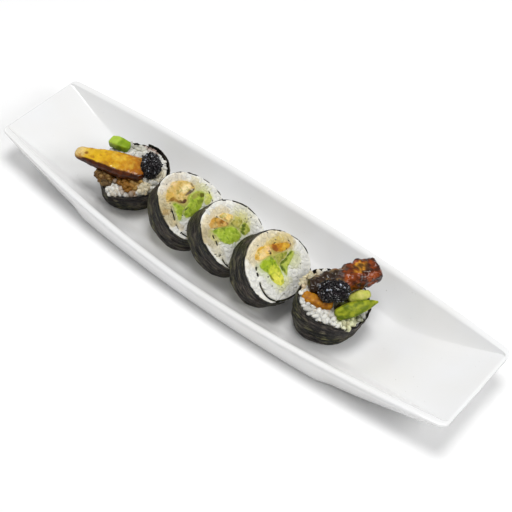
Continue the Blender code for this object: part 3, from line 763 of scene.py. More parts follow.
# %% Filling outlines
# Outlines as (across, up) in millimetres from the middle of the cut face, clockwise.
OUTLINES = {
    "piece_2_eel": [(-12.8, 12.4), (-11.0, 15.4), (-7.4, 18.2), (-2.6, 19.8), (2.6, 19.2), (7.2, 16.8),
                    (10.4, 13.2), (11.0, 9.8), (9.4, 7.4), (5.6, 7.0), (1.6, 6.4), (-0.6, 4.6), (-3.4, 4.2),
                    (-5.4, 5.6), (-7.6, 8.8), (-10.6, 10.6)],
    "piece_2_avocado_a": [(-11.4, 7.6), (-9.8, 8.0), (-8.2, 6.2), (-6.6, 3.6), (-6.4, 1.6), (-8.8, 0.0),
                          (-11.4, -1.8), (-13.8, -3.6), (-15.2, -2.6), (-13.8, 0.0), (-12.4, 3.4)],
    "piece_2_avocado_b": [(-6.2, 0.4), (-3.2, 1.6), (0.2, 2.8), (2.4, 5.0), (5.6, 5.9), (9.4, 5.6),
                          (12.4, 3.6), (13.6, 0.8), (11.4, -1.4), (7.6, -3.4), (3.4, -5.6), (-1.4, -6.6),
                          (-5.6, -6.2), (-9.0, -4.6), (-9.6, -2.2), (-8.4, -1.0)],
    "piece_2_cucumber": [(9.6, -4.0), (12.4, -2.2), (14.8, -0.4), (16.6, -1.6), (15.8, -4.6), (12.6, -6.4),
                         (9.6, -6.2)],
    "piece_3_eel": [(-12.0, 13.6), (-9.6, 15.9), (-6.0, 16.9), (-3.0, 15.2), (-1.2, 12.6), (0.4, 10.2),
                    (1.0, 8.2), (-0.8, 7.8), (-4.0, 9.2), (-7.6, 11.0), (-10.8, 12.0)],
    "piece_3_egg": [(-1.6, 15.8), (2.4, 15.6), (5.6, 13.2), (7.0, 10.4), (5.2, 8.8), (2.2, 8.6), (1.6, 10.6),
                    (0.0, 13.0)],
    "piece_3_avocado": [(-12.4, 9.6), (-11.2, 10.6), (-8.0, 9.7), (-4.4, 8.0), (-1.0, 6.8), (2.0, 5.0),
                        (4.2, 2.0), (4.5, -1.8), (2.4, -4.2), (-2.0, -4.8), (-6.6, -3.4), (-9.6, -0.8),
                        (-10.8, 2.4), (-11.2, 5.6)],
    "piece_3_cucumber_a": [(2.4, 7.4), (5.2, 7.9), (8.4, 8.6), (10.8, 6.4), (11.0, 3.4), (8.6, 2.6),
                           (5.6, 1.9), (4.8, 3.8), (3.0, 5.6)],
    "piece_3_cucumber_b": [(5.4, 0.8), (8.8, 1.7), (11.4, 2.4), (12.6, -0.4), (12.0, -3.4), (9.6, -4.8),
                           (6.4, -4.6), (5.3, -2.4)],
    "piece_4_eel": [(3.2, 14.2), (6.2, 13.2), (10.2, 11.0), (14.4, 8.6), (16.6, 6.2), (14.6, 4.8),
                    (10.4, 5.2), (6.6, 6.8), (4.2, 8.6), (3.2, 11.0)],
    "piece_4_egg": [(-11.6, 12.6), (-10.4, 15.0), (-7.4, 16.6), (-3.4, 17.0), (0.2, 15.8), (2.3, 13.4),
                    (2.2, 10.6), (0.9, 8.8), (-2.0, 9.2), (-6.0, 10.0), (-9.6, 10.6)],
    "piece_4_avocado": [(-12.0, 7.2), (-8.6, 8.8), (-4.2, 8.2), (-0.8, 7.4), (0.0, 4.0), (-0.4, 0.6),
                        (-0.6, -3.4), (-1.6, -7.6), (-3.8, -11.2), (-6.6, -11.2), (-9.0, -8.0),
                        (-10.2, -3.4), (-9.6, 0.2), (-11.2, 3.6)],
    "piece_4_cucumber_a": [(0.4, -4.4), (1.4, -0.8), (3.4, 0.6), (7.0, 0.6), (11.0, 1.6), (14.6, 2.2),
                           (15.4, 0.2), (13.0, -1.8), (9.0, -3.2), (5.0, -4.6), (2.4, -7.6), (0.6, -8.4)],
    "piece_4_cucumber_b": [(1.0, 6.6), (4.2, 6.2), (8.4, 4.5), (12.0, 3.8), (11.0, 2.4), (7.0, 1.5),
                           (3.2, 1.6), (1.0, 1.4), (0.9, 4.0)],
}


def curve_between(a, b, c, d, f):
    """Catmull-Rom: from b at f = 0 to c at f = 1, setting out along c - a and arriving along d - b."""
    bend, twist = 2 * a - 5 * b + 4 * c - d, 3 * b - a - 3 * c + d
    return 0.5 * (2 * b + (c - a) * f + bend * f ** 2 + twist * f ** 3)


def closed_curve(points, count):
    """Smooth closed curve through the points, with count points of its own."""
    points = np.asarray(points, float)
    t = np.linspace(0, len(points), count, endpoint=False)
    i = t.astype(int)
    return curve_between(*(points[(i + k) % len(points)] for k in (-1, 0, 1, 2)), (t - i)[:, None])


OUTLINE_STEPS = 96
CURVES = {name: closed_curve(points, OUTLINE_STEPS) for name, points in OUTLINES.items()}
for name, curve in CURVES.items():
    print(name, "is", np.ptp(curve, axis=0).round(1), "across and up")

# %% [markdown]
# ## Colours of the cut faces
# Colours are laid on the points of the mesh: two colours mixed by noise, then soft spots with
# uneven borders, for the browned and saucy parts of the eel, the green skin of cucumber and the
# yellow heart of the avocado, and one small painted highlight on the eel of piece 2. They could be
# painted by hand as well, but spots with a place and a size stay where they belong when a strip
# is moved or reshaped.

# %% Soft spots
def stained(spots, colour, stains, edge=0.3, grain=3.0):
    """Colour of points (x, y) after soft spots, each (x, y, half width, half height, colour,
    strength), whose edges are made uneven by noise of this strength and grain."""
    tints = np.broadcast_to(np.asarray(colour, float), (len(spots), 3)).copy()
    flat = np.pad(spots[:, :2], ((0, 0), (0, 1)))
    for number, (x, y, wide, high, stain, strength) in enumerate(stains):
        reach = ((spots[:, 0] - x) / wide) ** 2 + ((spots[:, 1] - y) / high) ** 2
        reach = reach + edge * rough(flat, grain, 90 + number)
        tints = mixed(tints, stain, strength * ease(1.5, 0.3, reach))
    return tints


brown_spot = (0, 0, 4, 4, (0.2, 0.1, 0.0), 1.0)
two_places = np.array([[0.0, 0.0], [9.0, 0.0]])
print("white in a brown spot and beside it:", stained(two_places, (1, 1, 1), [brown_spot]).round(2))

# %% Filling colours
# Two colours mixed by noise, then the spots as (across, up, half width, half height, colour, strength).
PAINT = {
    "piece_2_eel": ((0.62, 0.43, 0.13), (0.72, 0.54, 0.24), [
        (-2, 19, 6, 1.2, (0.74, 0.56, 0.36), 0.7), (5, 11.5, 5.5, 2.6, (0.88, 0.76, 0.48), 0.9),
        (-8, 14, 3.5, 3.2, (0.58, 0.37, 0.06), 0.8), (0, 16, 5, 1.2, (0.55, 0.36, 0.10), 0.6),
        (-9.6, 11, 3.0, 1.5, (0.25, 0.12, 0.010), 0.9), (-7, 8, 1.3, 2.4, (0.30, 0.15, 0.015), 0.9),
        (-5.2, 6, 1.4, 1.5, (0.20, 0.09, 0.015), 0.9), (-2.6, 5, 2.6, 1.4, (0.10, 0.040, 0.010), 1.0),
        # The small pale spot at (8, 8.3) on the dark strip is a painted highlight.
        (5.5, 7.6, 5.2, 1.1, (0.15, 0.11, 0.08), 1.0), (8, 8.3, 1.1, 0.8, (0.60, 0.55, 0.48), 0.8),
        (10.4, 10.8, 0.9, 1.8, (0.12, 0.09, 0.05), 0.8)]),
    "piece_2_avocado_a": ((0.29, 0.40, 0.03), (0.42, 0.54, 0.06), [
        (-12.2, 5.5, 1.6, 2.2, (0.58, 0.60, 0.30), 0.6), (-13.5, -2, 2, 1.4, (0.52, 0.60, 0.16), 0.7)]),
    "piece_2_avocado_b": ((0.34, 0.47, 0.03), (0.46, 0.58, 0.07), [
        (7, 3.4, 5, 2.0, (0.36, 0.34, 0.08), 0.9), (11.2, 1.2, 2.4, 1.8, (0.13, 0.125, 0.010), 1.0),
        (7, -1.8, 3.2, 1.5, (0.18, 0.24, 0.015), 0.8), (-5.5, 0.1, 3.0, 0.6, (0.10, 0.12, 0.02), 0.9),
        (-4, -5.8, 5, 1.0, (0.16, 0.20, 0.02), 0.7)]),
    "piece_2_cucumber": ((0.56, 0.59, 0.16), (0.66, 0.68, 0.30), []),
    "piece_3_eel": ((0.50, 0.27, 0.05), (0.58, 0.38, 0.12), [
        (-2, 12, 2.6, 1.6, (0.30, 0.12, 0.01), 0.9), (-5, 15.6, 4, 1.2, (0.58, 0.31, 0.04), 0.8),
        (-8, 12.4, 2.5, 1.3, (0.62, 0.45, 0.18), 0.7), (0.5, 9, 1.0, 1.8, (0.24, 0.13, 0.06), 0.9)]),
    "piece_3_egg": ((0.86, 0.66, 0.28), (0.80, 0.57, 0.20), [
        (3, 14, 2.6, 1.2, (0.90, 0.76, 0.42), 0.8), (0.8, 11.6, 0.7, 2.0, (0.48, 0.28, 0.09), 0.7)]),
    "piece_3_avocado": ((0.31, 0.44, 0.025), (0.46, 0.59, 0.08), [
        (-10.6, 9.4, 2.0, 1.2, (0.20, 0.30, 0.01), 0.8), (-5, 7.6, 4, 1.0, (0.30, 0.34, 0.05), 0.6)]),
    "piece_3_cucumber_a": ((0.46, 0.41, 0.10), (0.56, 0.52, 0.20), [
        (3.4, 7.0, 1.2, 0.8, (0.22, 0.19, 0.06), 0.7), (7, 2.4, 2.5, 0.8, (0.28, 0.30, 0.04), 0.7)]),
    "piece_3_cucumber_b": ((0.40, 0.44, 0.09), (0.50, 0.52, 0.12), [
        (6, -2.6, 1.2, 1.6, (0.13, 0.19, 0.006), 1.0), (7.8, -0.7, 1.5, 1.3, (0.11, 0.16, 0.004), 1.0),
        (9.8, 1.0, 1.8, 1.0, (0.13, 0.17, 0.006), 1.0)]),
    "piece_4_eel": ((0.45, 0.18, 0.008), (0.60, 0.31, 0.02), [
        (12.5, 7, 3.5, 2.2, (0.68, 0.42, 0.045), 0.8), (8, 13, 6, 1.3, (0.72, 0.46, 0.07), 0.7),
        (5, 10.6, 2.2, 3.0, (0.30, 0.085, 0.004), 0.95)]),
    "piece_4_egg": ((0.82, 0.57, 0.17), (0.84, 0.64, 0.32), [
        (-3.4, 16.3, 4, 0.9, (0.60, 0.35, 0.02), 0.9), (-10.2, 13.4, 1.8, 2, (0.62, 0.36, 0.04), 0.9),
        (-6, 12.5, 3, 1.8, (0.88, 0.70, 0.38), 0.8), (1.6, 12.6, 2.4, 2.4, (0.82, 0.56, 0.30), 0.9),
        (0.2, 9.9, 1.1, 1.0, (0.07, 0.04, 0.02), 1.0), (0.2, 11.3, 0.9, 0.7, (0.18, 0.12, 0.08), 0.9)]),
    "piece_4_avocado": ((0.33, 0.46, 0.015), (0.42, 0.54, 0.03), [
        (-5, -1.5, 4.6, 4.2, (0.66, 0.70, 0.08), 0.9), (-5.6, -8, 6, 6, (0.84, 0.82, 0.15), 1.0),
        (-9.5, -3, 0.6, 2.6, (0.22, 0.20, 0.02), 0.9), (-1.0, 6.4, 1.4, 1.4, (0.18, 0.27, 0.01), 0.8)]),
    "piece_4_cucumber_a": ((0.42, 0.51, 0.10), (0.52, 0.58, 0.12), [
        (1.3, -3, 1.3, 3.4, (0.10, 0.16, 0.004), 1.0), (5.4, 0.1, 3.8, 1.1, (0.12, 0.17, 0.005), 1.0),
        (11.8, 1.5, 3.6, 0.9, (0.14, 0.20, 0.008), 0.9), (3, -7, 1.6, 1.4, (0.55, 0.62, 0.16), 0.7)]),
    "piece_4_cucumber_b": ((0.48, 0.45, 0.11), (0.38, 0.39, 0.08), [
        (9, 3.2, 3, 0.9, (0.28, 0.31, 0.03), 0.7), (1.2, 6.0, 1, 0.8, (0.16, 0.14, 0.05), 0.8)]),
}


print("spots in the filling:", sum(len(marks) for _, _, marks in PAINT.values()))


# %% Filling strips
GREENS = ("avocado", "cucumber")
# Rings of points over the back end, along the sides and in over the cut end of a strip.
BACK_RINGS, SIDE_RINGS, FACE_RINGS = 4, 12, 24


def ring_shares():
    """(share of the way out from the middle, share of the way to the cut end) of each ring."""
    out = [[0.1, 0.45, 0.75, 0.94], np.ones(SIDE_RINGS), np.linspace(0.97, 0.05, FACE_RINGS)]
    level = [np.zeros(BACK_RINGS), np.linspace(0.01, 0.99, SIDE_RINGS), np.ones(FACE_RINGS)]
    return np.concatenate(out)[:, None], np.concatenate(level)[:, None]


def filling_skin(outline, thick, seed):
    """Rings out over the back end, along the slice and in over the cut end. The cut end is
    domed by 0.35 (1 - share^4) and roughened; the sides waver by up to half a millimetre."""
    middle = outline.mean(axis=0)
    reach = np.linalg.norm(outline - middle, axis=1, keepdims=True)
    outline = middle + (outline - middle) * (1 + 0.3 / reach)
    outwards = (outline - middle) / np.linalg.norm(outline - middle, axis=1, keepdims=True)
    shares, level = ring_shares()
    flat = middle + shares[..., None] * (outline - middle)
    w = np.broadcast_to(-thick * (1 - level), flat.shape[:2])
    spots = np.dstack([flat, w + 13.7 * seed])
    wobble = 0.42 * rough(spots, (2.2, 2.2, 7.0), seed, 3) * shares
    dome = 0.35 * (1 - shares ** 4) + 0.24 * rough(spots, 1.7, seed + 4, 3)
    back = 0.2 * rough(spots, 2.0, seed + 8, 2) - 0.1
    w = w + np.where(level >= 1, dome, np.where(level <= 0, back, 0))
    return solid(np.dstack([flat + wobble[..., None] * outwards, w]))


def filling_tint(name, points, seed):
    """Two colours mixed by noise, a pale smear along the rim, the spots, then light and dark."""
    first, second, marks = PAINT[name]
    spots = points * [1, 1, 0.4] + [0, 0, 9.1 * seed]
    base = mixed(first, second, 0.5 + 0.9 * rough(spots, 1.8, seed + 20))
    rim = np.append(np.repeat(ring_shares()[0], OUTLINE_STEPS), [0, 0])
    rim = ease(0.84, 1.0, rim + 0.08 * rough(points, 1.2, seed + 31))
    green = any(kind in name for kind in GREENS)
    smear = (0.66, 0.66, 0.34) if green else (0.72, 0.53, 0.20)
    tints = stained(points, mixed(base, smear, 0.5 * rim), marks, 0.45, 1.8)
    shade = ease(0.15, 0.8, rough(spots, 1.5, seed + 41, 2))
    shade = shade - 0.35 * ease(0.2, 0.8, rough(spots, 1.5, seed + 51, 2))
    deepen = [0.84, 0.84, 0.62] if green else [0.92, 0.89, 0.76]
    return tints * (1.04 - 0.45 * shade[:, None] * [1.0, 0.85, 1.2]) * deepen


FLESH_LOOK = food_material("moist_flesh", (0.35, 0.6), 0.02, (300.0, 0.40), (900.0, 0.35), 0.1,
                           (1.0, 0.5, 0.2))
GREEN_LOOK = food_material("moist_green", (0.35, 0.6), 0.02, (380.0, 0.35), (800.0, 0.30), 0.1,
                           (0.7, 1.0, 0.2))
for number, (name, curve) in enumerate(CURVES.items()):
    piece, kind = name[:7], name.split("_")[2]
    shape = filling_skin(curve, SLICES[piece]["thick"], 40 + number)
    shape["tint"] = filling_tint(name, shape["verts"], 40 + number)
    look = GREEN_LOOK if kind in GREENS else FLESH_LOOK
    make_piece(name + "_cut", stand(piece, shape), look, name, kind)

# %% [markdown]
# ## Rice
# Sushi rice is short grain, about 5 mm long and 3 mm wide when cooked, and sticky. On a cut face
# the knife has sliced the grains flat and pressed them together, so they lie close with their
# flats up; on the roll's ends they stand every way. A bumpy white surface would look like foam,
# and a particle system would leave out the parts that matter, such as where the filling is. So
# each heap is a smaller core with its own fine relief, and real grains packed over it, all in
# one mesh. Sauce and avocado have stained the grains next to them, which the tints carry.

# %% Grains
WHITE_RICE = (0.86, 0.845, 0.77)
TAN_RICE = (0.66, 0.50, 0.29)
LEMON_RICE = (0.78, 0.78, 0.46)
AMBER_RICE = (0.26, 0.115, 0.014)
SHADED_RICE = (0.68, 0.67, 0.62)


def grain_template(rows=5, cols=7, blunt=0.82):
    """Blunt-ended grain one unit in half length and half width: x = sin(a), radius = cos(a)^blunt."""
    lat = np.linspace(-1.25, 1.25, rows)
    lon = np.linspace(0, 2 * np.pi, cols, endpoint=False)
    radius = np.cos(lat)[:, None] ** blunt
    x = np.broadcast_to(np.sin(lat)[:, None], (rows, cols))
    grain = solid(np.stack([x, radius * np.cos(lon), radius * np.sin(lon)], axis=-1))
    grain["verts"][-2:, 0] = (-1.0, 1.0)
    return grain


def turned(count, rng, tilt):
    """Axes (n, 3, 3) of grains turned any way about w and tilted out of the face by about tilt."""
    around = rng.uniform(-np.pi, np.pi, count)
    lift = rng.normal(0, tilt, count)
    roll = rng.uniform(-np.pi, np.pi, count) if tilt > 0.5 else rng.normal(0, tilt, count)
    ahead = [np.cos(around) * np.cos(lift), np.sin(around) * np.cos(lift), np.sin(lift)]
    long_axis = np.stack(ahead, axis=-1)
    flat = np.stack([-np.sin(around), np.cos(around), 0 * around], axis=-1)
    normal = np.cross(long_axis, flat)
    side = flat * np.cos(roll)[:, None] + normal * np.sin(roll)[:, None]
    return np.stack([long_axis, side, np.cross(long_axis, side)], axis=1)


def half_sizes(rng, count, *limits):
    """Half length, width and height of each grain, each at random between its two limits."""
    return np.stack([rng.uniform(low, high, count) for low, high in limits], axis=-1)


def shades(rng, count, low, high):
    """How light or dark each grain is."""
    return rng.uniform(low, high, (count, 1))


REACH = 27.0


def hex_spots(long_pitch, wide_pitch, rng):
    """Jittered hexagonal lattice of points over a square that holds any slice or roll end."""
    rows = np.arange(-REACH, REACH + wide_pitch, wide_pitch)
    cols = np.arange(-REACH, REACH + long_pitch, long_pitch)
    u, v = np.meshgrid(cols, rows)
    u = u + (np.arange(len(rows)) % 2)[:, None] * long_pitch / 2
    spots = np.stack([u, v], axis=-1).reshape(-1, 2)
    return spots + rng.uniform(-0.32, 0.32, spots.shape) * [long_pitch, wide_pitch]


def crumbs(middles, rng):
    """Bits of torn nori about a millimetre long."""
    count = len(middles)
    sizes = np.column_stack([half_sizes(rng, count, (0.4, 1.1), (0.25, 0.45)), np.full(count, 0.2)])
    return many(grain_template(4, 5), middles, turned(count, rng, 0.2), sizes, np.full((count, 3), 0.012))


print("points in a grain of the cut faces:", len(grain_template()["verts"]))

# %% Stains on the slices
# Soft spots on each cut face: the filling's juice, sauce and tan edges, in the order they soak in.
STAINS = {
    "piece_2": [(-1, 5, 13, 11, (0.40, 0.37, 0.10), 1.0), (0, 20, 14, 5, (0.76, 0.66, 0.50), 0.7),
                (-15, 13, 7, 8, (0.60, 0.49, 0.26), 0.8),
                (-19.5, 5, 6, 11, (0.50, 0.41, 0.21), 0.85), (-18.5, 7, 2.5, 3, (0.42, 0.26, 0.08), 0.7),
                (14, 2, 5, 8, (0.72, 0.70, 0.34), 0.85), (14, 10, 4, 5, (0.72, 0.64, 0.38), 0.7),
                (-17.5, -5, 2.5, 6, (0.62, 0.50, 0.28), 0.6)],
    "piece_3": [(-0.5, 6, 12, 9, (0.42, 0.38, 0.10), 1.0), (-17, 10, 6, 9, (0.52, 0.41, 0.20), 0.85),
                (-17, 0, 4, 9, (0.62, 0.56, 0.38), 0.7),
                (-4, 17, 12, 5, (0.78, 0.62, 0.32), 0.7), (13, 5, 8, 10, (0.80, 0.77, 0.52), 0.7),
                (11, 4, 5, 7, (0.70, 0.66, 0.27), 0.85), (-13, 7, 3.5, 5, (0.58, 0.53, 0.20), 0.7)],
    "piece_4": [(0, 15, 19, 10, (0.80, 0.68, 0.42), 0.85), (8, 12, 10, 6, (0.72, 0.54, 0.14), 0.95),
                (17, 8, 5, 6, (0.72, 0.58, 0.26), 0.85), (13, -4, 6, 6, (0.70, 0.71, 0.42), 0.85),
                (-5, -12, 8, 4, (0.82, 0.80, 0.42), 0.7), (-13, 6, 3, 5, (0.62, 0.66, 0.42), 0.6),
                (-12, 0, 3, 6, (0.66, 0.69, 0.42), 0.5), (1.5, 6, 10, 7, (0.42, 0.38, 0.10), 1.0)],
}


def haloed(piece, spots, tints):
    """Near a filling the rice takes on its colour: a share that halves every 0.8 mm away."""
    flat = np.pad(spots[:, :2], ((0, 0), (0, 1)))
    uneven = 0.75 + 0.6 * rough(flat, 1.6, 33)
    for name, points in OUTLINES.items():
        if name.startswith(piece):
            edge = closed_curve(points, 48)
            away = np.hypot(spots[:, :1] - edge[:, 0], spots[:, 1:2] - edge[:, 1]).min(axis=1)
            tints = mixed(tints, PAINT[name][0], 0.75 * uneven * 0.5 ** (away / 0.8))
    return tints


def slice_tint(piece, spots):
    """White rice, stained, then coloured by the filling beside it."""
    return haloed(piece, spots, stained(spots, WHITE_RICE, STAINS[piece]))


for piece, stains in STAINS.items():
    under = np.array([[*stains[0][:2], 0.0]])
    print(piece, "rice under its first stain:", slice_tint(piece, under).round(2))


# %% Rice core of a slice
# Rings of points over the back, up the side and in over the cut face.
CORE_BACK, CORE_SIDE, CORE_FACE = 14, 8, 60
CORE_STEPS = 200


def rice_core(piece, spec, seed):
    """Rings out over the back, up the side just inside the nori and in over the front, with a
    groove where the tail of the nori shows."""
    angle = np.linspace(TAIL_ROOT, TAIL_ROOT + 2 * np.pi, CORE_STEPS, endpoint=False)
    radius = sheet_radius(spec, angle) - 0.55
    shares = [np.linspace(0.05, 0.98, CORE_BACK), np.ones(CORE_SIDE), np.linspace(0.99, 0.02, CORE_FACE)]
    level = [np.zeros(CORE_BACK), np.linspace(0.03, 0.97, CORE_SIDE), np.ones(CORE_FACE)]
    shares, level = np.concatenate(shares)[:, None], np.concatenate(level)[:, None]
    cover = 0.6 * rice_covers(piece, spec, angle) * level ** 6
    out = shares * (radius + cover)
    u, v = out * np.cos(angle), out * np.sin(angle)
    spots = np.stack([u, v, np.full_like(u, seed)], axis=-1)
    relief = 0.11 * rough(spots, 1.1, seed, 3)
    w = np.where(level > 0.5, relief - 0.12, 0.2 + relief) - spec["thick"] * (1 - level)
    tail = angle - 2 * np.pi
    groove = tail_shows(piece, tail) * ease(1.5, 0.6, np.abs(out - sheet_radius(spec, tail)))
    w = w - 0.9 * groove * (level > 0.9)
    shape = solid(np.stack([u, v, w], axis=-1))
    speckle = 0.93 + 0.12 * rough(shape["verts"], 1.2, seed + 2, 2)
    shape["tint"] = slice_tint(piece, shape["verts"]) * speckle[:, None]
    return shape


rice_cores = {piece: rice_core(piece, spec, 60 + number)
              for number, (piece, spec) in enumerate(SLICES.items())}
for piece, core in rice_cores.items():
    print(piece, "rice core in millimetres:", np.ptp(core["verts"], axis=0).round(1))


# %% Grains of a slice
def inside(outline, spots, margin):
    """Whether points lie within a closed curve grown by the margin: even-odd rule, then distance."""
    a, b = outline, np.roll(outline, -1, axis=0)
    x, y = spots[:, :1], spots[:, 1:2]
    crosses = (a[:, 1] > y) != (b[:, 1] > y)
    rise = np.where(a[:, 1] == b[:, 1], 1e-9, b[:, 1] - a[:, 1])
    left = x < (b[:, 0] - a[:, 0]) * (y - a[:, 1]) / rise + a[:, 0]
    within = (crosses & left).sum(axis=1) % 2 == 1
    return within | (np.hypot(x - a[:, 0], y - a[:, 1]).min(axis=1) < margin)


def face_crumbs(seed, count=16, reach=23.5):
    """Crumbs scattered evenly over a cut face, none near its middle."""
    rng = np.random.default_rng(seed)
    radius = reach * np.sqrt(rng.uniform(0.15, 1, count))
    angle = rng.uniform(0, 2 * np.pi, count)
    flat = [radius * np.cos(angle), radius * np.sin(angle), np.full(count, -0.05)]
    return crumbs(np.stack(flat, axis=-1), rng)


def face_grains(piece, spec, seed, back=False):
    """Grains lying in a cut face, left out where there is filling or the nori's tail."""
    rng = np.random.default_rng(seed)
    spots = hex_spots(3.1, 2.15, rng)
    radius = np.hypot(*spots.T)
    angle = TAIL_ROOT + (np.arctan2(spots[:, 1], spots[:, 0]) - TAIL_ROOT) % (2 * np.pi)
    keep = radius < sheet_radius(spec, angle) - 2.0
    tail = angle - 2 * np.pi
    keep &= (tail < TAIL_TIP - 0.05) | (np.abs(radius - sheet_radius(spec, tail)) > 1.7)
    for name, curve in CURVES.items():
        if name.startswith(piece):
            keep &= ~inside(curve, spots, 1.3)
    spots = spots[keep]
    count = len(spots)
    depth = rng.uniform(-0.45, -0.2, count)
    w = depth if not back else -spec["thick"] - depth
    sizes = half_sizes(rng, count, (1.7, 2.6), (1.05, 1.45), (0.38, 0.5))
    tints = slice_tint(piece, spots) * shades(rng, count, 0.80, 1.04)
    middles = np.column_stack([spots, w])
    return many(grain_template(), middles, turned(count, rng, 0.08), sizes, tints)


# Starchy, slightly translucent and damp: light soaks in and the surface is faintly bumpy.
RICE_LOOK = food_material("cooked_rice", (0.4, 0.6), 0.06, (420.0, 0.10), (1500.0, 0.25), 0.25,
                          (1.0, 0.9, 0.7))
for number, (piece, spec) in enumerate(SLICES.items()):
    rice = gather(rice_cores[piece], face_grains(piece, spec, 160 + number),
                  face_grains(piece, spec, 260 + number, back=True), face_crumbs(360 + number))
    make_piece(piece + "_grains", stand(piece, rice), RICE_LOOK, piece + "_rice", "rice")

# %% [markdown]
# ## Rice of the roll ends
# The ends of a roll are left uneven: the rice bulges over the nori's edge and falls away on one
# side, and whole grains lie every way on it. A core follows the wall up and closes under the
# grains; two layers of grains follow its crown; and small clumps of grains make the bulges.
# Sauce has run down on one side and turned the grains there dark amber.

# %% Stains and clumps of the ends
# Soft spots as (x, y, half width, half height, colour, strength), from above.
END_STAINS = {
    "piece_1": [(-84, -17, 9, 7, AMBER_RICE, 1.0), (-91, -16, 8, 6, AMBER_RICE, 1.0),
                (-80, -13, 5, 5, (0.48, 0.30, 0.09), 1.0), (-106, -22, 9, 8, (0.22, 0.11, 0.025), 1.0),
                (-98, -17, 9, 5, (0.14, 0.06, 0.008), 1.0), (-92.5, -27, 4.5, 5.5, WHITE_RICE, 1.0),
                (-74, -13, 5, 6, WHITE_RICE, 1.0), (-77, 3, 5, 8, (0.74, 0.64, 0.42), 0.7),
                (-97, 19, 8, 4, (0.20, 0.10, 0.07), 0.8), (-105, 12, 7, 5, (0.42, 0.41, 0.34), 0.8)],
    "piece_5": [(69, -5, 7, 10, (0.60, 0.47, 0.26), 0.9), (71, -15, 4, 5, TAN_RICE, 0.6),
                (101, -5, 9, 9, (0.24, 0.27, 0.03), 0.9), (107, -12, 7, 6, LEMON_RICE, 0.8),
                (96, -9, 5, 4, (0.08, 0.05, 0.02), 0.9)],
}


# Heaped grains beyond the rim: middle, half sizes, number and colour.
CLUMPS = {
    "piece_1": [((-105.5, -23.5, 30.5), (6.5, 3.5, 2.5), 46, (0.12, 0.055, 0.010)),
                ((-99.5, -25.5, 29.0), (4.0, 2.5, 2.0), 22, (0.08, 0.045, 0.015)),
                ((-92.0, -27.4, 27.0), (4.5, 2.6, 2.6), 30, SHADED_RICE),
                ((-75.0, -13.0, 29.5), (4.0, 5.5, 2.0), 34, (0.70, 0.63, 0.46))],
    "piece_5": [((69.5, -6.0, 35.4), (4.0, 6.5, 1.8), 38, (0.70, 0.63, 0.44)),
                ((83.0, -22.0, 32.5), (6.0, 3.0, 2.2), 34, SHADED_RICE),
                ((96.0, -17.5, 31.0), (5.0, 4.0, 2.0), 34, SHADED_RICE),
                ((107.0, -13.5, 28.0), (5.0, 4.0, 1.6), 26, (0.66, 0.66, 0.42))],
}


def clump(middle, half, count, tint, rng):
    """Grains at random in a squashed ball, a few of them tanned by sauce."""
    way = rng.normal(0, 1, (count, 3))
    way *= (rng.uniform(0, 1, (count, 1)) ** 0.33) / np.linalg.norm(way, axis=1, keepdims=True)
    sizes = half_sizes(rng, count, (2.2, 2.9), (1.4, 1.8), (1.3, 1.6))
    tints = mixed(tint, (0.60, 0.40, 0.15), 0.35 * rng.uniform(0, 1, count) ** 3)
    tints = tints * shades(rng, count, 0.75, 1.15)
    return many(grain_template(6, 8), np.array(middle) + way * half, turned(count, rng, 0.6), sizes, tints)


for piece, heaps in CLUMPS.items():
    print(piece, "grains in clumps:", sum(count for _, _, count, _ in heaps))


# %% Core and grains of the ends
def end_top(spec, angle, share):
    """Top of the rice: the rim plane with a crown that is highest in the middle."""
    point = end_point(spec, angle, share, np.ones_like(angle), NORI + WRAP_PITCH + 0.3)
    point[..., 2] += spec["crown"] * (1 - share ** 2)
    return point


def end_core(piece, spec, seed, steps=150):
    """Rings out over the foot, up just inside the nori and in over the crowned, bumpy top."""
    angle = np.linspace(0, 2 * np.pi, steps, endpoint=False)[None]
    inset = NORI + WRAP_PITCH + 0.5
    side = [end_point(spec, angle[0], 1.0, np.full(steps, h), inset) for h in np.linspace(0, 0.93, 8)]
    floor = [blend(side[0].mean(axis=0), side[0], share) for share in (0.1, 0.6, 0.95)]
    shares = np.linspace(0.99, 0.02, 40)[:, None]
    top = end_top(spec, angle + 0 * shares, shares + 0 * angle)
    top[..., 2] += -1.5 + 0.45 * rough(top, 1.6, seed, 3)
    shape = solid(np.concatenate([np.stack(floor), np.stack(side), top]))
    shape["tint"] = stained(shape["verts"], WHITE_RICE, END_STAINS[piece])
    return shape


# Each layer of whole grains as (how far under the crown, pitch).
LAYERS = ((-1.5, 3.0), (-0.5, 3.5))


def end_grains(piece, spec, seed):
    """Whole grains lying every way over the top, in layers, then the clumps and some crumbs."""
    rng = np.random.default_rng(seed)
    shapes = []
    for lift, pitch in LAYERS:
        spots = hex_spots(pitch * 1.25, pitch, rng)
        share = np.hypot(*spots.T) / (spec["rim_radius"] - 3.4)
        spots, share = spots[share < 0.98], share[share < 0.98]
        middles = end_top(spec, np.arctan2(spots[:, 1], spots[:, 0]), share)
        count = len(middles)
        middles[:, 2] += lift + rng.uniform(-0.5, 0.5, count)
        sizes = half_sizes(rng, count, (2.2, 2.9), (1.5, 1.85), (1.35, 1.7))
        tints = stained(middles, SHADED_RICE, END_STAINS[piece]) * shades(rng, count, 0.75, 1.15)
        shapes.append(many(grain_template(6, 8), middles, turned(count, rng, 0.35), sizes, tints))
    bits = middles[rng.choice(count, 24, replace=False)] + [0, 0, 1.2]
    heaps = [clump(*heap, rng) for heap in CLUMPS[piece]]
    return gather(*shapes, *heaps, crumbs(bits, rng))


for number, (piece, spec) in enumerate(ENDS.items()):
    rice = gather(end_core(piece, spec, 70 + number), end_grains(piece, spec, 170 + number))
    make_piece(piece + "_grains", rice, RICE_LOOK, piece + "_rice", "rice")

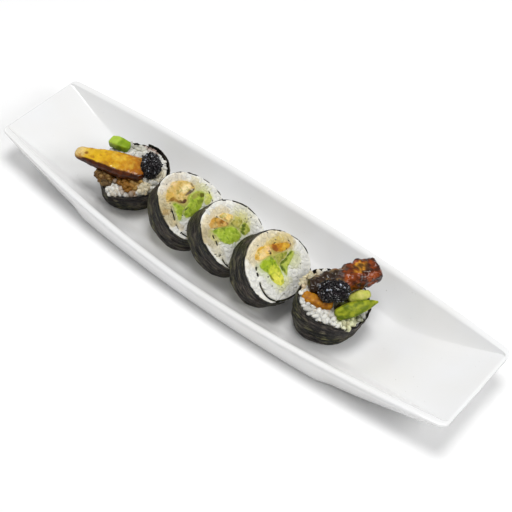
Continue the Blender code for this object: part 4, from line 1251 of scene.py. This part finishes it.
# %% [markdown]
# ## Filling that sticks out of the ends
# The strips of eel, egg and avocado are longer than the roll, so they stick out of its two ends.
# Each could be a curve with a bevel, but a bevel has one outline all along and ends flat. Here a
# section is carried along a smooth curve through a few points of its spine and may widen, turn
# squarer and close in a rounded end, with a relief of its own. The grilled eel is pale gold
# flesh on one side and dark glazed skin on the other, with charred, ragged edges.

# %% Sweeps
def through(values, t):
    """Smooth open curve through the values, met at t = 0, 1, 2 and so on."""
    values = np.asarray(values, float)
    padded = np.vstack([2 * values[0] - values[1], values, 2 * values[-1] - values[-2]])
    i = np.clip(np.floor(t).astype(int), 0, len(values) - 2)
    return curve_between(*(padded[i + k] for k in range(4)), (t - i)[:, None])


CAP_STEPS = 8


def capped(values):
    """Rows of values with the first and last repeated along the caps."""
    extra = CAP_STEPS - 1
    return np.vstack([np.repeat(values[:1], extra, axis=0), values, np.repeat(values[-1:], extra, axis=0)])


def sweep(spine, size, squareness, seed, relief, grain, tint, rows=60, cols=64, cap=0.3):
    """Section |x/w|^n + |y/h|^n = 1 along the spine; at the ends it runs on by cap heights and
    closes like a quarter ellipse. tint(share along, across, up, points) gives the colours."""
    t = np.linspace(0, len(spine) - 1, rows)
    middle, wide_high = through(spine, t), through(size, t)
    along = np.gradient(middle, axis=0)
    along /= np.linalg.norm(along, axis=1, keepdims=True)
    turn = np.linspace(0, np.pi / 2, CAP_STEPS)
    reach = cap * np.sin(turn[::-1])
    close = np.clip(np.cos(turn[::-1]) ** 0.8, 0.04, 1)
    extra_start = middle[0] - along[0] * (reach * wide_high[0, 1])[:, None]
    extra_end = middle[-1] + along[-1] * (reach[::-1] * wide_high[-1, 1])[:, None]
    middle = np.vstack([extra_start[:-1], middle, extra_end[1:]])
    along, wide_high = capped(along), capped(wide_high)
    scale = np.concatenate([close[:-1], np.ones(rows), close[::-1][1:]])[:, None]
    across = np.cross(along, [0, 0, 1])
    across /= np.linalg.norm(across, axis=1, keepdims=True)
    up = np.cross(across, along)
    angle = np.linspace(0, 2 * np.pi, cols, endpoint=False)
    c, s = np.cos(angle), np.sin(angle)
    x = np.sign(c) * np.abs(c) ** (2 / squareness) * wide_high[:, :1] / 2 * scale
    y = np.sign(s) * np.abs(s) ** (2 / squareness) * wide_high[:, 1:] / 2 * scale
    points = middle[:, None] + across[:, None] * x[..., None] + up[:, None] * y[..., None]
    outwards = across[:, None] * c[None, :, None] + up[:, None] * s[None, :, None]
    height = relief * rough(points, grain, seed, 4)
    points = points + outwards * height[..., None] * np.clip(scale, 0.3, 1)[..., None]
    shape = solid(points)
    share = np.broadcast_to(np.linspace(0, 1, len(middle))[:, None], x.shape)
    flat = [share.ravel(), np.tile(c, len(middle)), np.tile(s, len(middle))]
    flat = [np.append(values, ends) for values, ends in zip(flat, ([0, 1], [0, 0], [0, 0]))]
    shape["tint"] = tint(*flat, shape["verts"])
    return shape


half_way = through([(0.0, 0.0), (2.0, 1.0), (4.0, 0.0)], np.array([0.5, 1.0]))
print("a curve over three points, half way to the second and at it:", half_way.round(3))

# %% [markdown]
# ## Colours of the strips
# A strip's colours follow its own shape, so each tint is a function of the share along it, of
# across and up in its section, and of the place. Painting would do too, but browning that
# follows an edge, or char that gathers at an end, is said in one line by its share. The last
# number of each call of rough is only a seed.

# %% Tints of the eel
def piece_1_eel_tint(share, across, up, spots):
    """Amber to gold flesh, paler at the tip, browned edges, and dark glazed skin along the side."""
    along = share + 0.15 * rough(spots, 5.0, 101)
    flesh = mixed((0.50, 0.18, 0.003), (0.70, 0.42, 0.012), ease(0.1, 0.7, along))
    flesh = mixed(flesh, (0.72, 0.55, 0.24), 0.8 * ease(0.76, 0.9, share))
    flesh = mixed(flesh, (0.28, 0.08, 0.004), 0.85 * ease(0.27, 0.06, share + 0.05 * rough(spots, 3.0, 106)))
    flesh = mixed(flesh, (0.42, 0.17, 0.008), 0.75 * ease(0.1, 0.7, rough(spots, 2.4, 102)))
    flesh = mixed(flesh, (0.84, 0.60, 0.07), 0.5 * ease(0.1, 0.9, rough(spots, 5.0, 105)))
    spot = np.hypot(share - 0.80, 0.25 * (across + 0.1))
    flesh = mixed(flesh, (0.22, 0.06, 0.004), 0.9 * ease(0.055, 0.02, spot))
    edge = ease(0.72, 0.95, np.maximum(np.abs(across), (share - 0.90) * 12 * (share > 0.90)))
    flesh = mixed(flesh, (0.30, 0.12, 0.008), 0.75 * edge)
    skin = mixed((0.020, 0.004, 0.002), (0.10, 0.022, 0.003), 0.5 + 0.6 * rough(spots, 2.5, 103))
    near = ease(0.3, 0.9, -across) * ease(0.95, 0.75, share)
    return mixed(flesh, skin, ease(0.25, -0.15, up - 0.9 * near + 0.15 * rough(spots, 3.0, 104)))


def piece_5_eel_tint(share, across, up, spots):
    """Charred skin with red glaze, gold where the flesh shows, and a browned, duller upper end."""
    glaze = mixed((0.06, 0.010, 0.002), (0.32, 0.060, 0.004), 0.5 + 0.8 * rough(spots, 4.0, 111))
    patches = 0.35 - 0.8 * across + 0.9 * rough(spots, 2.6, 112)
    upper = mixed((0.020, 0.011, 0.006), (0.26, 0.17, 0.075), patches)
    colour = mixed(upper, glaze, ease(0.42, 0.58, share + 0.1 * rough(spots, 4.0, 113)))
    colour = mixed(colour, (0.022, 0.010, 0.004), ease(0.34, 0.16, share + 0.1 * rough(spots, 3.0, 116)))
    gold = np.hypot((share - 0.73) / 0.10, (across + 0.15) / 0.45)
    colour = mixed(colour, (0.72, 0.32, 0.02), 0.9 * ease(1.0, 0.3, gold + 0.5 * rough(spots, 2.5, 115)))
    char = rough(spots, 3.2, 114) + 0.5 * ease(0.86, 0.98, share) + 0.5 * ease(0.0, -0.7, across + up)
    return mixed(colour, (0.020, 0.008, 0.005), 0.85 * ease(-0.25, 0.3, char))


middle_top = (np.array([0.5]), np.array([0.0]), np.array([1.0]), np.zeros((1, 3)))
for tint in (piece_1_eel_tint, piece_5_eel_tint):
    print(tint.__name__, "half way along the top:", tint(*middle_top)[0].round(3))


# %% Tints of the egg and avocado
def egg_strip_tint(share, across, up, spots):
    """Orange, browned in fine streaks."""
    return mixed((0.48, 0.20, 0.008), (0.28, 0.09, 0.004), 0.4 + 0.7 * rough(spots, (2.0, 2.0, 1.2), 121))


def avocado_strip_tint(green, yellow):
    """Green to yellow in streaks, with a darker underside and a dark tip."""
    def tint(share, across, up, spots):
        streak = rough(spots, (4.0, 3.0, 2.0), 131)
        colour = mixed(green, yellow, 0.35 + 0.9 * streak + 0.3 * up)
        colour = mixed(colour, (0.10, 0.17, 0.006), 0.6 * ease(0.2, -0.5, up))
        return mixed(colour, (0.05, 0.10, 0.008), 0.8 * ease(0.88, 1.0, share))
    return tint


def avocado_chunk_tint(share, across, up, spots):
    """Deep green, painted lighter towards the top, with pale green painted light over the top of the end
    that it starts from.
    """
    # Painted light: the top is lighter, and the upper face of the first part is pale green.
    lit = ease(0.62, 0.45, share + 0.1 * rough(spots, 4.0, 142))
    colour = mixed((0.10, 0.19, 0.004), (0.24, 0.36, 0.010), 0.4 + 0.4 * up + 0.4 * rough(spots, 3.0, 141))
    return mixed(colour, (0.44, 0.60, 0.06), 0.8 * lit * ease(-0.2, 0.3, up))


for tint in (egg_strip_tint, avocado_chunk_tint):
    print(tint.__name__, "half way along the top:", tint(*middle_top)[0].round(3))

# %% Strips that stick out
# Spine points, then (width, height) at each, squareness, and relief (height, grain) in millimetres.
TOPPINGS = {
    "piece_1_eel": dict(
        spine=[(-88.8, -5.2, 34.4), (-97.2, -9.4, 35.2), (-108.0, -14.2, 36.6), (-119.4, -19.4, 38.2),
               (-126.4, -22.4, 39.2)],
        size=[(20.5, 9.0), (20.5, 9.6), (18.4, 9.2), (14.2, 7.4), (11.4, 5.8)], squareness=2.9, cap=0.9,
        relief=(0.35, (4.0, 4.0, 2.5)), tint=piece_1_eel_tint),
    "piece_1_avocado": dict(
        spine=[(-119.8, 1.2, 38.0), (-114.2, 2.4, 38.4), (-107.6, 4.2, 37.6)],
        size=[(7.6, 6.2), (9.2, 7.0), (7.8, 6.4)], squareness=5.5, sharp=32,
        relief=(0.3, (6.0, 6.0, 4.0)), tint=avocado_chunk_tint),
    "piece_5_eel": dict(
        spine=[(76.8, -11.0, 38.4), (81.4, -4.8, 39.0), (87.8, 4.4, 39.8), (94.0, 16.6, 40.4),
               (98.6, 26.2, 39.8)],
        size=[(12.4, 8.6), (16.0, 10.4), (17.0, 11.4), (18.6, 12.4), (18.0, 12.0)], squareness=2.8,
        relief=(1.4, (3.8, 3.8, 3.0)), tint=piece_5_eel_tint),
    "piece_5_egg": dict(
        spine=[(77.4, -18.8, 36.6), (84.8, -16.6, 35.6), (92.8, -12.4, 34.6)],
        size=[(7.6, 7.6), (8.2, 7.8), (6.4, 6.6)], squareness=2.8,
        relief=(0.4, (3.0, 3.0, 2.0)), tint=egg_strip_tint),
    "piece_5_avocado_a": dict(
        spine=[(101.2, -12.8, 32.8), (104.6, -7.0, 33.8), (109.4, 2.0, 34.2), (114.0, 10.2, 33.8)],
        size=[(8.6, 11.6), (11.0, 12.6), (8.6, 9.8), (2.0, 2.4)], squareness=1.45, sharp=30,
        relief=(0.25, (5.0, 5.0, 2.0)), tint=avocado_strip_tint((0.11, 0.16, 0.003), (0.36, 0.40, 0.02))),
    "piece_5_avocado_b": dict(
        spine=[(99.2, 2.0, 32.0), (102.2, 6.8, 33.6), (105.2, 12.0, 33.4)],
        size=[(6.4, 6.8), (9.0, 8.2), (5.6, 5.6)], squareness=1.6, sharp=30,
        relief=(0.3, (3.0, 3.0, 2.0)), tint=avocado_strip_tint((0.45, 0.50, 0.06), (0.62, 0.60, 0.15))),
}
GLAZED_LOOK = food_material("glazed_eel", (0.10, 0.26), 0.2, (300.0, 0.45), (900.0, 0.28))
LOOKS = {"eel": GLAZED_LOOK, "egg": FLESH_LOOK, "avocado": GREEN_LOOK}
for number, (name, spec) in enumerate(TOPPINGS.items()):
    kind = name.split("_")[2]
    height, grain = spec["relief"]
    shape = sweep(spec["spine"], spec["size"], spec["squareness"], 300 + number, height, grain, spec["tint"],
                  cap=spec.get("cap", 0.3))
    make_piece(name + "_strip", shape, LOOKS[kind], name, kind, spec.get("sharp", 180))

# %% [markdown]
# ## Roe
# The black roe are wet beads about a millimetre across, and the heap sparkles because each bead
# catches the light for itself; a few beads are also coloured pale grey-blue as painted glints. A
# bump pattern on one ball would shine as a whole, so the beads are real. They are spread evenly
# over a squashed ball by turning each one on by the golden angle, in two layers, over a smaller
# solid core, and then jostled a little.

# %% Mounds of roe
GOLDEN_ANGLE = 2.399963
# Number of beads in each layer and how far it lies inside the mound's surface.
BEAD_LAYERS = ((560, 0.65), (420, 1.3))
CORE_INSET = 1.3
# Middle and half sizes in millimetres, and the turn of the mound in degrees.
ROE = {
    "piece_1_roe": dict(middle=(-83.2, 2.8, 35.6), size=(8.0, 10.8, 7.4), turn=41),
    "piece_5_roe": dict(middle=(91.0, -6.6, 41.8), size=(10.8, 8.6, 6.6), turn=48),
}


def mound_points(spec, x, y, z, inset):
    """A unit sphere's point squashed to the mound's half sizes less the inset, and turned."""
    a, b, c = np.array(spec["size"]) - inset
    turn = math.radians(spec["turn"])
    spots = np.stack(np.broadcast_arrays(x, y, z), axis=-1)
    swell = 1 + 0.17 * rough(spots, 0.8, spec["turn"], 2)
    x, y, z = x * a * swell, y * b * swell, z * c * swell
    across = x * math.cos(turn) - y * math.sin(turn)
    ahead = x * math.sin(turn) + y * math.cos(turn)
    return np.array(spec["middle"]) + np.stack([across, ahead, z], axis=-1)


def roe_core(spec):
    """The solid ball under the beads, from latitude and longitude."""
    lat = np.linspace(-1.5, 1.5, 20)[:, None]
    lon = np.linspace(0, 2 * np.pi, 40, endpoint=False)[None]
    x, y, z = np.cos(lat) * np.cos(lon), np.cos(lat) * np.sin(lon), np.sin(lat) + 0 * lon
    core = solid(mound_points(spec, x, y, z, CORE_INSET))
    core["tint"] = np.full((len(core["verts"]), 3), 0.003)
    return core


for name, spec in ROE.items():
    print(name, "core in millimetres:", np.ptp(roe_core(spec)["verts"], axis=0).round(1))


# %% Roe beads
def roe_beads(spec, seed):
    """Beads in layers; most are nearly black, and a few are pale grey-blue as painted glints."""
    rng = np.random.default_rng(seed)
    layers = []
    for count, inset in BEAD_LAYERS:
        i = np.arange(count) + 0.5
        z = 1 - 2 * i / count
        turn = i * GOLDEN_ANGLE
        flat = np.sqrt(1 - z ** 2)
        middles = mound_points(spec, flat * np.cos(turn), flat * np.sin(turn), z, inset)
        middles += rng.normal(0, 0.34, middles.shape)
        sizes = rng.uniform(0.55, 0.85, (count, 1)) * np.ones(3)
        tints = mixed((0.003, 0.003, 0.004), (0.020, 0.013, 0.016), rng.uniform(0, 1, count) ** 2)
        # About one bead in thirty is coloured pale grey-blue as a painted glint.
        tints = mixed(tints, (0.30, 0.33, 0.40), rng.uniform(0, 1, count) < 0.035)
        layers.append(many(grain_template(4, 6, 1.0), middles, turned(count, rng, 0.6), sizes, tints))
    return layers


# Glossy wet skin over a dark bead, with facets kept crisp so that each one sparkles.
ROE_LOOK = food_material("black_roe", (0.10, 0.25), 0.6, (500.0, 0.3), (1500.0, 0.05))
for number, (name, spec) in enumerate(ROE.items()):
    beads = gather(roe_core(spec), *roe_beads(spec, 400 + number))
    make_piece(name + "_beads", beads, ROE_LOOK, name, "roe", smooth_angle=20)

# %% [markdown]
# ## Floor and light
# A plain pale floor and a plain studio. A picture of a room could light the scene, but it would
# show in the glaze. So there is a soft white world all round, one broad lamp almost overhead for
# the soft shadows under the roll, and a weaker lamp off each end of the plate. The one at the
# right is the stronger of the two, because the cut faces look that way.

# %% Floor
FLOOR_HALF = 3.0
corners = [(-FLOOR_HALF, -FLOOR_HALF, 0), (FLOOR_HALF, -FLOOR_HALF, 0),
           (FLOOR_HALF, FLOOR_HALF, 0), (-FLOOR_HALF, FLOOR_HALF, 0)]
floor_mesh = bpy.data.meshes.new("floor")
floor_mesh.from_pydata(corners, [], [(0, 1, 2, 3)])
floor_look, floor_tree, floor_shader = new_material("pale_floor")
feed(floor_tree, floor_shader, {"Base Color": (0.97, 0.97, 0.97), "Roughness": 0.8})
floor_mesh.materials.append(floor_look)
floor = bpy.data.objects.new("floor", floor_mesh)
scene = bpy.context.scene
scene.collection.objects.link(floor)
floor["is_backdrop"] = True
print("floor:", 2 * FLOOR_HALF, "metres square")

# %% World and lamps
WORLD_STRENGTH = 0.37
LAMP_AIM = Vector((0.0, 0.0, 0.02))
LAMP_WIDTH = 0.7
# Place in metres and power in watts.
LAMPS = {
    "key": ((0.05, 0.12, 1.56), 12.0),
    "left": ((-1.25, 0.05, 1.00), 3.5),
    "right": ((1.25, 0.05, 1.00), 7.5),
}
scene.view_settings.view_transform = "Standard"
world = bpy.data.worlds.new("soft_studio")
world.use_nodes = True
background = world.node_tree.nodes["Background"]
feed(world.node_tree, background, {"Color": (1.0, 1.0, 1.0), "Strength": WORLD_STRENGTH})
scene.world = world


def soft_lamp(name, place, power):
    """A round soft lamp that looks at the plate."""
    data = bpy.data.lights.new(name, "AREA")
    data.shape = "DISK"
    data.size = LAMP_WIDTH
    data.energy = power
    lamp = bpy.data.objects.new(name, data)
    scene.collection.objects.link(lamp)
    lamp.location = place
    lamp.rotation_euler = (LAMP_AIM - Vector(place)).to_track_quat("-Z", "Y").to_euler()
    lamp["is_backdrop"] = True
    print(f"{name} lamp: {(LAMP_AIM - Vector(place)).length:.2f} m from the plate, {power} W")


for name, (place, power) in LAMPS.items():
    soft_lamp(name, place, power)

# %% [markdown]
# ## Camera
# The roll is seen from above and from its right-hand end, through a longish lens, as a cook
# would see it on the counter. The camera stands at a distance from a target on the plate, along
# a direction given by how far it has gone round and how high it stands, both as angles.

# %% Camera
AZIMUTH, ELEVATION, DISTANCE = math.radians(40.87), math.radians(49.05), 0.7819
TARGET = Vector((0.0155, 0.0044, 0.010))
LENS, SENSOR, NEAREST = 78.96, 36.0, 0.05
camera_data = bpy.data.cameras.new("camera")
camera_data.sensor_width = SENSOR
camera_data.lens = LENS
camera_data.clip_start = NEAREST
camera = bpy.data.objects.new("camera", camera_data)
scene.collection.objects.link(camera)
back = Vector((math.sin(AZIMUTH) * math.cos(ELEVATION), -math.cos(AZIMUTH) * math.cos(ELEVATION),
               math.sin(ELEVATION)))
camera.location = TARGET + DISTANCE * back
camera.rotation_euler = (-back).to_track_quat("-Z", "Y").to_euler()
scene.camera = camera
print("camera at", [round(value, 3) for value in camera.location])

# %% [markdown]
# ## Sizes
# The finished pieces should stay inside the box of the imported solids, so both boxes are measured
# and kept side by side.

# %% Sizes and finish
visual_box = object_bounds()
sizes = {"cad": [list(corner) for corner in cad_box], "visual": [list(corner) for corner in visual_box]}
print("solids:", sizes["cad"])
print("finished:", sizes["visual"])
